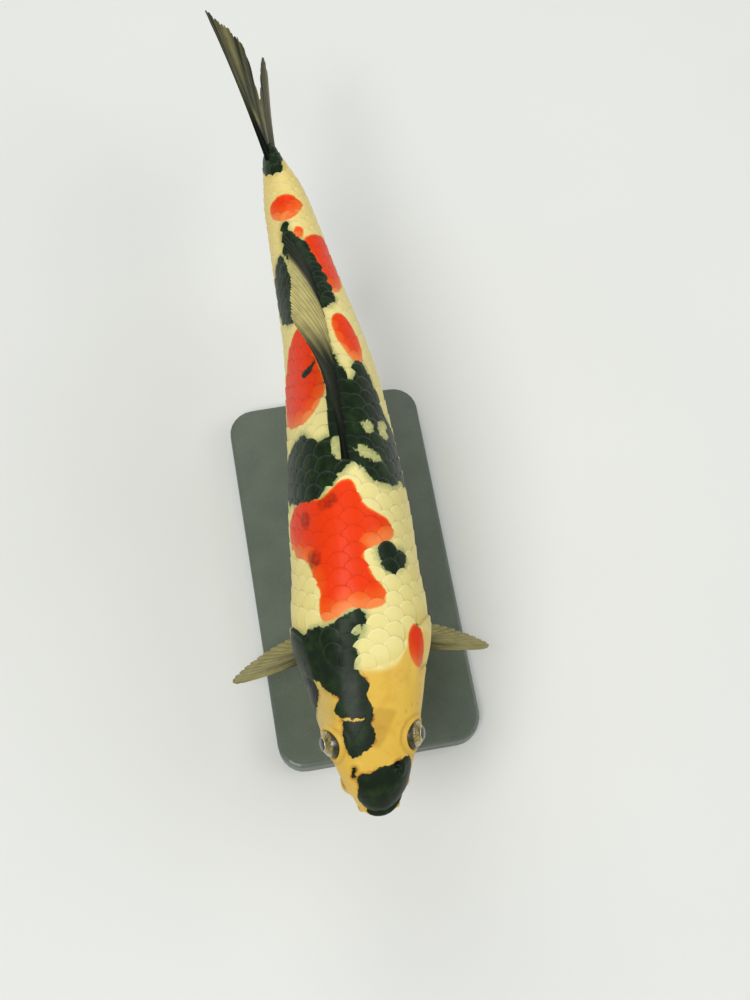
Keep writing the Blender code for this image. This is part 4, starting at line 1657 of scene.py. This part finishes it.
@dataclass
class Coat:
    """Thin overlapping scales in rows along the body."""

    form: BodyForm
    unwrap: Unwrap
    markings: Markings
    ground: Ground
    gill: GillCover = GillCover()
    nape: Nape = Nape()
    first: float = 38.0
    end: float = 247.5
    row_gap: Table = ((38, 4.6), (62, 6.0), (100, 6.6), (150, 5.9), (200, 4.7), (246, 4.0))
    spacing: Table = ((38, 3.8), (62, 5.0), (100, 5.5), (160, 5.2), (210, 4.6), (246, 3.9))
    length_share: float = 0.95
    width_share: float = 0.76
    thickness: float = 0.12
    root_height: float = -0.38
    edge_height: float = 0.2
    curl: float = 0.13
    overhang: float = 1.8
    size_spread: float = 0.025
    turn_spread: float = 0.03
    lift_spread: float = 0.02
    row_margin: float = 0.3
    nape_margin: float = 1.5
    beside_fin: float = 2.2
    fin_on_back: tuple[float, float] = (108.0, 190.0)
    belly_runs: tuple[tuple[float, float], ...] = ((52.0, 185.0), (209.0, 247.5))
    cells: int = 12
    first_row: int = -6
    last_row: int = 6
    seed: int = 12

    def disc(self) -> tuple[Array, Array, Faces]:
        """One scale's grid within a circle, and its faces with a rim wall.

        Returns:
            Places along and across, each from -1 to 1, and the faces. The rim's lower ring of
            points comes last.
        """
        line = np.linspace(-1.0, 1.0, self.cells + 1)
        along, across = np.meshgrid(line, line, indexing="ij")
        a = (along * np.sqrt(1 - across ** 2 / 2)).ravel()
        b = (across * np.sqrt(1 - along ** 2 / 2)).ravel()
        faces = band_faces(len(line), len(line), closed=False)
        ring = grid_rim(len(line), len(line))
        for i, top in enumerate(ring):
            j = (i + 1) % len(ring)
            faces.append([ring[j], top, len(a) + i, len(a) + j])
        return np.append(a, a[ring]), np.append(b, b[ring]), faces

    def front(self, arc: Array, angle: Array) -> Array:
        """Station where scales start: behind the skull, and behind the gill cover below it."""
        across = self.gill.across(angle)
        return np.where(across > 1.0, self.nape.station(arc), np.maximum(self.gill.edge(across) + 0.6, 50.0))

    def row_places(self, row: Row) -> Array:
        """Spaces the scales of a row.

        Args:
            row: The row.

        Returns:
            Stations.
        """
        start = self.first + (0.0 if row.above % 2 == 0 else 0.5 * float(read(self.spacing, self.first)))
        station = self.steps_between(start, self.end)
        station = station[station < self.end]
        arc = self.row_arc(station, row)
        margin = self.row_margin * read(self.row_gap, station)
        inside = (margin < np.abs(arc)) & (np.abs(arc) < self.unwrap.half(station) - margin)
        inside &= np.sign(arc) == row.side.value
        return station[inside & (station > self.front(arc, self.unwrap.angle(station, arc)) + 1.2)]

    def row_arc(self, station: Array, row: Row) -> Array:
        """Arc of a row's middle at stations."""
        lateral = self.unwrap.arc(station, np.zeros_like(station))
        return row.side.value * (lateral - row.above * read(self.row_gap, station))

    def build(self, site: Site, finish: Material) -> list[Piece]:
        """Makes the coat in three joined meshes: right, left and the middle rows.

        Args:
            site: Where the part stands.
            finish: The scales' material.

        Returns:
            The pieces.
        """
        draw = np.random.default_rng(self.seed)
        pieces = []
        for side in Side:
            roots = []
            for above in range(self.first_row, self.last_row + 1):
                row = Row(side, above)
                stations = self.row_places(row)
                slope = self.row_arc(stations + 0.5, row) - self.row_arc(stations - 0.5, row)
                roots.append(self.roots_at(stations, self.row_arc(stations, row), slope, above == 0))
            pieces.append(self.make_part(f"koi_scales_{side.word}", np.vstack(roots), site, finish, draw))
        pieces.append(self.make_part("koi_scales_middle", self.middle_roots(), site, finish, draw))
        return pieces

    def middle_roots(self) -> Array:
        """Lays roots along the back, beside and behind its fin, and along the belly.

        Returns:
            A row for each scale, as roots_at gives it.
        """
        start = float(self.nape.station(np.array(0.0))) + self.nape_margin
        fin_start, fin_end = self.fin_on_back
        back = np.concatenate([self.steps_between(start, fin_start), self.steps_between(fin_end, self.end)])
        beside = self.steps_between(fin_start - 1.0, fin_end)
        belly = np.concatenate([self.steps_between(*run) for run in self.belly_runs])
        rows = [self.roots_at(back, 0.0)]
        rows += [self.roots_at(beside, side.value * self.beside_fin) for side in Side]
        rows.append(self.roots_at(belly, self.unwrap.half(belly) - 0.01))
        return np.vstack(rows)

    @staticmethod
    def roots_at(station: Array, arc: Array | float, slope: Array | float = 0.0,
                 lateral: bool = False) -> Array:
        """Station, arc, slope and lateral-line mark of each scale, as a table."""
        return np.stack(np.broadcast_arrays(station, arc, slope, float(lateral)), -1)

    def steps_between(self, first: float, last: float) -> Array:
        """Lays stations a scale's spacing apart.

        Args:
            first: First station.
            last: Station that ends them.

        Returns:
            Stations.
        """
        found = [first]
        while found[-1] < last:
            found.append(found[-1] + float(read(self.spacing, found[-1])))
        return np.array(found)

    def surface(self, station: Array, arc: Array, height: Array) -> Array:
        """Finds points over the plain form, also where an arc passes the belly's middle.

        Args:
            station: Stations.
            arc: Arcs.
            height: Heights over the form.

        Returns:
            Points, (..., 3).
        """
        half = self.unwrap.half(station)
        over = np.abs(arc) > half
        folded = np.where(over, -np.sign(arc) * (2 * half - np.abs(arc)), arc)
        angle = self.unwrap.angle(station, folded)
        return self.form.point(station, angle) + self.form.normal(station, angle) * height[..., None]

    def make_part(self, name: str, roots: Array, site: Site, finish: Material,
                  draw: np.random.Generator) -> Piece:
        """Makes one joined mesh of scales.

        Args:
            name: The piece's name.
            roots: Station, arc, slope and lateral-line mark of each scale.
            site: Where the part stands.
            finish: The scales' material.
            draw: Source of the small differences between scales.

        Returns:
            The piece.
        """
        a, b, faces = self.disc()
        count, each = len(roots), len(a)
        s0, t0, slope, lateral = (roots[:, i:i + 1] for i in range(4))
        size = 1.0 + draw.normal(0.0, self.size_spread, (count, 1))
        long = read(self.spacing, s0) * self.length_share * size
        wide = read(self.row_gap, s0) * self.width_share * size
        skew = draw.normal(0.0, self.turn_spread, (count, 1))
        along = a[None, :] * long
        across = b[None, :] * wide + along * (slope + skew)
        root = (a[None, :] + 1) / 2
        height = self.root_height + (self.edge_height - self.root_height) * root
        height = height - self.curl * b[None, :] ** 2 + draw.normal(0.0, self.lift_spread, (count, 1))
        height[:, (self.cells + 1) ** 2:] -= self.thickness
        station = np.minimum(s0 + along, self.end + self.overhang)
        points = self.surface(station, t0 + across, height).reshape(-1, 3)
        everything = (np.array(faces)[None] + (np.arange(count) * each)[:, None, None]).reshape(-1, 4)
        piece = make_piece(name, site.metres(points), everything.tolist(), finish)
        flat_s, flat_t = station.ravel(), (t0 + across).ravel()
        mid_s, mid_t = np.repeat(s0 + 0.45 * long, each), np.repeat(t0, each)
        values = {}
        for pigment, share in ((Pigment.SUMI, 0.35), (Pigment.HI, 0.12)):
            own = self.markings.depth(pigment, flat_s, flat_t)
            middle = self.markings.depth(pigment, mid_s, mid_t)
            values[pigment.value] = share * middle + (1 - share) * own
        pore = np.repeat(lateral, each, axis=1) * bell(b[None, :], 0.16) * rise(0.35, 0.6, root)
        values["sashi"] = lerp(self.markings.sashi(mid_s, mid_t), self.markings.sashi(flat_s, flat_t), 0.65)
        values["smudge"] = rise(-0.9, 0.9, self.markings.depth(Pigment.TAN, flat_s, flat_t))
        # The side value is painted shade down the flanks, fading again towards the belly.
        give_values(
            piece, **values, ochre=self.ground.warmth(flat_s, flat_t), rim=np.tile(np.hypot(a, b), count),
            root=np.tile((a + 1) / 2, count), tone=np.repeat(draw.uniform(0.0, 1.0, count), each),
            spoke=np.tile(np.arctan2(b, a + 1.3), count), pore=pore,
            side=0.45 * rise(8.0, 26.0, np.abs(flat_t)) * (1 - rise(30.0, 58.0, np.abs(flat_t))))
        centre = self.unwrap.flat(s0[:, 0], t0[:, 0])
        patch = centre[:, None, :] + 0.0015 * np.stack([a, b], -1)[None]
        give_map(piece, patch.reshape(-1, 2)[corner_points(piece)])
        return piece


Curve = Callable[[Array], Array]


@dataclass
class Fin:
    """A web of rays: each starts at a foot, runs along its own way and bends at its tip."""

    name: str
    foot: Curve
    way: Curve
    reach: Table
    bend: Curve
    root: float
    rays: int
    dark: Callable[[Array, Array], Array]
    sunk: float = 2.2
    edge: float = 0.42
    web: float = 0.2
    per_ray: int = 8
    steps: int = 44
    pleat: float = 0.18
    branch: float = 0.42
    seed: int = 3

    def at(self, u: Array, v: Array) -> Array:
        """Middle of the web at u along the rays and v from the first ray to the last."""
        length, u3 = read(self.reach, v)[..., None], u[..., None]
        return self.foot(v) + self.way(v) * (length * u3 - self.sunk * (1 - u3)) + self.bend(v) * u3 * u3

    def build(self, site: Site, finish: Material) -> Piece:
        """Makes the fin with ribs, split tips and a scalloped edge.

        Args:
            site: Where the part stands.
            finish: The fins' material.

        Returns:
            The piece.
        """
        draw = np.random.default_rng(self.seed)
        v = np.linspace(0.0, 1.0, self.rays * self.per_ray + 1)[:, None]
        u = np.linspace(0.0, 1.0, self.steps + 1)[None, :]
        u, v = np.broadcast_arrays(u, v)
        number = v * self.rays
        fork = 0.25 * rise(self.branch, 1.0, u)
        off = number - np.round(number)
        near = np.abs(np.abs(off) - fork)
        ray = bell(near, 0.2 - 0.08 * u)
        trim = draw.uniform(-0.015, 0.015, self.rays + 2)[np.round(number).astype(int)]
        tip = 1 - (0.03 * (1 - bell(near, 0.2)) - trim) * rise(0.75, 1.0, u)
        u = u * np.minimum(tip, 1.0)
        middle = self.at(u, v)
        du = unit(self.at(u + 0.01, v) - self.at(u - 0.01, v))
        dv = unit(self.at(u, np.minimum(v + 0.01, 1)) - self.at(u, np.maximum(v - 0.01, 0)))
        normal = unit(np.cross(du, dv))
        wave = np.cos(2 * math.pi * number) * self.pleat * rise(0.0, 0.3, u)
        middle = middle + normal * wave[..., None]
        full = self.edge + (self.root - self.edge) * (1 - u) ** 2
        thick = full * (0.45 + 0.55 * ray) * (0.5 + 0.5 * rise(1.0, 0.85, u))
        thick = np.maximum(thick * (1 + 0.35 * bell(number, 0.4) * (1 - u)), self.web)
        half = normal * thick[..., None] / 2
        points = np.vstack([(middle + half).reshape(-1, 3), (middle - half).reshape(-1, 3)])
        piece = make_piece(self.name, site.metres(points), self.wrap(*middle.shape[:2]), finish)
        mesh_fix(piece)
        both = {"ray": ray, "dark": self.dark(u, v), "along": u, "foot": rise(0.12, 0.0, u)}
        give_values(piece, **{key: np.concatenate([n.ravel(), n.ravel()]) for key, n in both.items()})
        return piece

    @staticmethod
    def wrap(rows: int, columns: int) -> Faces:
        """Joins both sides and the edge between them.

        Args:
            rows: Rows of points on a side.
            columns: Points in each.

        Returns:
            Corner numbers of each face.
        """
        top = band_faces(rows, columns, closed=False)
        count = rows * columns
        faces = top + [[corner + count for corner in face[::-1]] for face in top]
        ring = grid_rim(rows, columns)
        for i, first in enumerate(ring):
            second = ring[(i + 1) % len(ring)]
            faces.append([second, first, first + count, second + count])
        return faces


def direction(up: Array, turned: Array) -> Array:
    """Unit vectors to the tail, raised and turned to the left by angles in degrees."""
    up, turned = np.radians(up), np.radians(turned)
    return np.stack([np.cos(up) * np.sin(turned), np.cos(up) * np.cos(turned), np.sin(up)], -1)


def along_x(values: Array) -> Array:
    """Vectors of given lengths along X."""
    return np.stack([values, np.zeros_like(values), np.zeros_like(values)], -1)


@dataclass
class FinSet:
    """All the fins, as they stand in the frame."""

    form: BodyForm

    def dorsal(self) -> Fin:
        """The long folded fin along the back: black in front, smoky behind.

        Returns:
            The fin.
        """
        def station(v: Array) -> Array:
            """Station of a ray's foot."""
            return lerp(109.0, 187.0, v)

        reach = ((0, 26), (0.07, 32), (0.2, 31), (0.5, 25), (0.8, 20), (1, 17))

        def dark(u: Array, v: Array) -> Array:
            """Black front that turns smoky and then pale along the back, and a black rear.

            Args:
                u: Places along the rays.
                v: Places from the first ray to the last.

            Returns:
                Shares of black.
            """
            behind = station(v) + 1.06 * u * read(reach, v)
            front = rise(167.0, 147.0, behind + 2.0 * np.sin(47.0 * v))
            rear = rise(0.68, 0.78, v - 0.06 * u)
            return np.clip(0.97 * np.maximum(front, rear) + 0.03, 0.0, 1.0)

        lean = ((0, -4), (0.12, -8.5), (0.3, -12), (0.5, -10.5), (0.75, -7.5), (1, -6))
        return Fin("koi_dorsal_fin", lambda v: self.form.point(station(v), 90.0 + 0 * v),
                   lambda v: direction(lerp(21.0, 14.0, v), np.degrees(self.form.turn(station(v)))),
                   reach, lambda v: along_x(read(lean, v)), 2.4, 20, dark, pleat=0.07, seed=5)

    def anal(self) -> Fin:
        """The single fin under the tail."""
        def station(v: Array) -> Array:
            """Station of a ray's foot."""
            return lerp(187.0, 207.0, v)

        return Fin("koi_anal_fin", lambda v: self.form.point(station(v), -90.0 + 0 * v),
                   lambda v: direction(lerp(-50.0, -28.0, v), np.degrees(self.form.turn(station(v)))),
                   ((0, 25), (0.15, 29), (0.5, 24), (1, 15)), lambda v: along_x(1.0 + 0 * v), 2.0, 8,
                   lambda u, v: 0.15 + 0.55 * rise(0.5, 0.0, u), seed=6)

    def caudal(self) -> Fin:
        """The forked tail fin, twisted by its stroke.

        Returns:
            The fin.
        """
        start = self.form.length - 0.4
        top = 0.96 * float(read(self.form.back, self.form.length))
        bottom = 0.96 * float(read(self.form.belly, self.form.length))
        heading = math.degrees(float(self.form.turn(np.array(start))))
        reach = ((0, 54), (0.07, 60), (0.2, 59), (0.38, 53), (0.5, 34), (0.62, 50), (0.8, 65), (0.93, 69),
                 (1, 63))
        turns = ((0, -14.5), (0.1, -13.5), (0.38, -3.5), (0.5, -1.2), (0.62, 1.5), (1, 3))
        straight = 0.7

        def bend(v: Array) -> Array:
            """Side bend of a ray's tip."""
            gained = np.radians(read(turns, v) - heading) * (1 - straight)
            return along_x(read(reach, v) * gained)

        def dark(u: Array, v: Array) -> Array:
            """Sooty streaks along the rays, with pale wedges between them.

            Args:
                u: Places along the rays.
                v: Places from the first ray to the last.

            Returns:
                Shares of black.
            """
            wedge = 0.28 * bell(v - 0.22, 0.05) * rise(0.5, 0.8, u)
            notch = 0.36 * bell(v - 0.5, 0.04) * rise(0.3, 0.6, u)
            spot = 0.5 * bell(v - 0.25, 0.05) * bell(u - 0.36, 0.06)
            lower = 0.3 * bell(v - 0.95, 0.05) * rise(0.3, 0.7, u)
            streaks = 0.07 * (1 + np.sin(61.0 * v + 0.8 * np.sin(5.0 * u))) * rise(0.2, 0.6, u)
            root = 0.85 * rise(0.34, 0.5, v) * rise(0.2, 0.06, u - 0.04 * np.sin(31.0 * v))
            return np.clip(1.0 - wedge - notch - spot - lower - streaks - root, 0.0, 1.0)

        return Fin("koi_caudal_fin",
                   lambda v: self.form.place(start + 0 * v, lerp(-2.0, 2.0, v), lerp(top, bottom, v)),
                   lambda v: direction(lerp(18.0, -8.0, v), lerp(heading, read(turns, v), straight)),
                   reach, bend, 2.2, 20, dark, sunk=3.0, steps=64, seed=7)

    def paired(self, kind: str, side: Side) -> Fin:
        """A breast or belly fin of one side.

        Args:
            kind: pectoral or pelvic.
            side: The fish's side.

        Returns:
            The fin.
        """
        sign = np.array([side.value, 1.0, 1.0])
        if kind == "pectoral":
            base, angles, root, rays = (60.0, 65.5), (-44.0, -58.0), 2.0, 14
            first, last, bend = (0.80, -0.13, -0.56), (0.40, 0.28, -0.87), (0.0, 4.0, -1.5)
            reach = ((0, 33), (0.18, 41), (0.4, 42), (0.7, 35), (1, 22))
        else:
            base, angles, root, rays = (118.0, 126.0), (-63.0, -78.0), 1.8, 9
            first, last, bend = (0.28, 0.78, -0.62), (-0.06, 0.90, -0.42), (0.0, 0.0, 2.0)
            reach = ((0, 31), (0.2, 35), (0.6, 29), (1, 19))
        first, last, bend = (np.array(way) * sign for way in (first, last, bend))

        def foot(v: Array) -> Array:
            """Foot of a ray on the flank."""
            angle = lerp(*angles, v)
            return self.form.point(lerp(*base, v), angle if side is Side.LEFT else 180.0 - angle)

        def dark(u: Array, v: Array) -> Array:
            """Black root that fades along the rays."""
            if kind == "pectoral":
                return np.clip(0.45 + 0.5 * rise(0.75, 0.1, u + 0.1 * np.sin(20.0 * v)), 0.0, 1.0)
            return 0.12 + 0.35 * rise(0.4, 0.0, u)

        return Fin(f"koi_{kind}_fin_{side.word}", foot,
                   lambda v: unit(first + (last - first) * v[..., None]), reach,
                   lambda v: bend + 0 * v[..., None], root, rays, dark, seed=8)

    def build(self, site: Site, finish: Material) -> dict[str, Piece]:
        """Makes every fin.

        Args:
            site: Where the part stands.
            finish: The fins' material.

        Returns:
            Each piece by the name of the node that it stands for.
        """
        made = {"dorsal_fin": self.dorsal(), "anal_fin": self.anal(), "caudal_fin": self.caudal()}
        for side in Side:
            for kind in ("pectoral", "pelvic"):
                made[f"{kind}_fin_{side.word}"] = self.paired(kind, side)
        return {node: fin.build(site, finish) for node, fin in made.items()}


@dataclass
class Eye:
    """An eyeball with a bulging pupil and a sunk iris."""

    form: BodyForm
    seat: EyeSeat
    side: Side
    rings: int = 120
    spokes: int = 72
    tilt_up: float = 0.34
    tilt_ahead: float = 0.16
    bulge: float = 0.1
    sink: float = 0.16

    def axis(self) -> Array:
        """Finds the way that the pupil looks.

        Returns:
            The vector.
        """
        turn = float(self.form.turn(np.array(self.seat.station)))
        out = np.array([math.cos(turn), -math.sin(turn), 0.0]) * self.side.value
        ahead = np.array([-math.sin(turn), -math.cos(turn), 0.0])
        return unit(out + ahead * self.tilt_ahead + np.array([0.0, 0.0, self.tilt_up]))

    def build(self, site: Site, finish: Material) -> Piece:
        """Makes the eyeball from a sphere with a pole at the pupil.

        Args:
            site: Where the part stands.
            finish: The eyes' material.

        Returns:
            The piece.
        """
        axis, centre = self.axis(), self.seat.centre(self.form, self.side)
        bpy.ops.object.select_all(action="DESELECT")
        bpy.ops.mesh.primitive_uv_sphere_add(
            segments=self.spokes, ring_count=self.rings, radius=self.seat.diameter / 2 * MM, calc_uvs=False,
            location=site.metres(centre), rotation=Vector(axis).to_track_quat("Z", "Y").to_euler())
        bpy.ops.object.transform_apply(location=True, rotation=True, scale=True)
        bpy.ops.object.shade_smooth()
        piece = bpy.context.object
        piece.name = f"koi_eye_{self.side.word}"
        piece.data.materials.append(finish)
        places = np.empty(len(piece.data.vertices) * 3, np.float32)
        piece.data.vertices.foreach_get("co", places)
        way = unit(places.reshape(-1, 3) - site.metres(centre))
        facing = way @ axis
        polar = np.degrees(np.arccos(np.clip(facing, -1.0, 1.0)))
        radius = self.seat.diameter / 2 + self.bulge * rise(26.0, 20.0, polar)
        radius -= self.sink * rise(24.0, 27.0, polar) * rise(52.0, 44.0, polar)
        shaped = site.metres(centre + way * radius[:, None])
        piece.data.vertices.foreach_set("co", shaped.astype(np.float32).ravel())
        piece.data.update()
        up = np.cross(unit(np.cross(axis, np.array([0.0, 0.0, 1.0]))), axis)
        give_values(piece, polar=polar, upper=0.5 * unit(way - facing[:, None] * axis) @ up)
        return piece


@dataclass
class Stand:
    """The stand's own solids, given their finishes."""

    nodes: tuple[str, ...] = ("stand_base", "stand_rod_front", "stand_rod_rear")

    def dress(self, frame: dict) -> None:
        """Puts lacquer on the base and steel on the rods."""
        lacquer, steel = LacquerFinish().material(), SteelFinish().material()
        for name in self.nodes:
            node = frame["nodes"][name]
            for slot in node.material_slots:
                slot.material = lacquer if name == "stand_base" else steel


@dataclass(frozen=True)
class Lamp:
    """A soft round lamp: its place beside what it lights, in metres, its width and its power."""

    name: str
    place: tuple[float, float, float]
    width: float
    power: float


@dataclass
class Studio:
    """Floor, lights and camera."""

    site: Site
    aim: tuple[float, float, float] = (10.0, 0.0, 80.0)
    azimuth: float = -10.0
    elevation: float = 69.0
    distance: float = 500.0
    lens: float = 51.3
    floor_size: float = 6.0
    lamps: tuple[Lamp, ...] = (Lamp("key", (-0.5, -0.5, 1.2), 0.7, 10.0),
                               Lamp("fill", (0.9, -0.1, 0.9), 1.0, 4.5),
                               Lamp("rear", (-0.1, 1.0, 0.8), 0.9, 4.5))
    sky: Colour = (0.95, 0.97, 1.0, 1.0)
    sky_strength: float = 0.42

    def build(self) -> None:
        """Sets up the whole studio."""
        self.make_floor()
        self.make_lights()
        self.make_camera()

    def make_floor(self) -> None:
        """Lays the pale floor."""
        bpy.ops.mesh.primitive_plane_add(size=self.floor_size, location=self.site.foot)
        floor = bpy.context.object
        floor.name = "studio_floor"
        bpy.ops.object.transform_apply(location=True, rotation=True, scale=True)
        floor.data.materials.append(FloorFinish().material())

    def make_lights(self) -> None:
        """Hangs three soft lamps and a pale world."""
        aim = self.site.metres(np.array(self.aim))
        for lamp in self.lamps:
            light = bpy.data.lights.new(lamp.name, "AREA")
            light.shape = "DISK"
            light.size = lamp.width
            light.energy = lamp.power
            holder = bpy.data.objects.new(lamp.name, light)
            holder.location = aim + np.array(lamp.place)
            self.point_at(holder, aim)
            bpy.context.collection.objects.link(holder)
        world = bpy.data.worlds.new("studio_world")
        world.use_nodes = True
        world.node_tree.nodes["Background"].inputs["Color"].default_value = self.sky
        world.node_tree.nodes["Background"].inputs["Strength"].default_value = self.sky_strength
        bpy.context.scene.world = world
        bpy.context.scene.view_settings.view_transform = "Standard"

    @staticmethod
    def point_at(holder: Piece, aim: Array) -> None:
        """Turns an object's -Z to a place."""
        way = holder.location - Vector(aim)
        holder.rotation_euler = way.to_track_quat("Z", "Y").to_euler()

    def make_camera(self) -> None:
        """Places the camera over the fish's head, looking down its back."""
        azimuth, elevation = math.radians(self.azimuth), math.radians(self.elevation)
        back = np.array([math.sin(azimuth) * math.cos(elevation), -math.cos(azimuth) * math.cos(elevation),
                         math.sin(elevation)])
        lens = bpy.data.cameras.new("camera")
        lens.lens = self.lens
        lens.sensor_width = 36.0
        camera = bpy.data.objects.new("camera", lens)
        camera.location = self.site.metres(np.array(self.aim) + back * self.distance)
        self.point_at(camera, self.site.metres(np.array(self.aim)))
        bpy.context.collection.objects.link(camera)
        bpy.context.scene.camera = camera


FLESH = ("head", "lower_jaw", "upper_lip", "gill_cover_right", "gill_cover_left", "barbel_front_right",
         "barbel_front_left", "barbel_corner_right", "barbel_corner_left", "trunk", "tail")


def settle(piece: Piece, slot: Slot, *nodes: str) -> None:
    """Rides a piece on the body and hides the nodes that it stands for.

    Args:
        piece: The piece.
        slot: Its material slot; not used.
        nodes: Nodes that it stands for.
    """
    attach(piece, BODY)
    if nodes:
        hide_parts(*nodes)
    LOG.info("%s: %d faces", piece.name, len(piece.data.polygons))


def main() -> None:
    """Builds the fish and its studio around the frame."""
    logging.basicConfig(level=logging.INFO, format="%(name)s: %(message)s")
    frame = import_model()
    bpy.ops.object.select_all(action="DESELECT")
    site = Site.from_frame()
    Studio(site).build()

    form = BodyForm()
    unwrap = Unwrap(form)
    markings, ground = Markings(), Ground()
    pigment, grain = PigmentGroup(Palette()), GrainGroup()

    skin = Skin(form, unwrap, markings, ground)
    settle(skin.build(site, SkinFinish().material(pigment, grain)), Slot.SKIN, *FLESH)
    coat = Coat(form, unwrap, markings, ground)
    for piece in coat.build(site, ScaleFinish().material(pigment, grain)):
        settle(piece, Slot.SKIN)
    for node, piece in FinSet(form).build(site, FinFinish().material(grain)).items():
        settle(piece, Slot.FIN, node)
    eye_finish = EyeFinish().material()
    for side in Side:
        settle(Eye(form, skin.eye, side).build(site, eye_finish), Slot.EYE, f"eye_{side.word}")
    Stand().dress(frame)


if __name__ == "__main__":
    main()
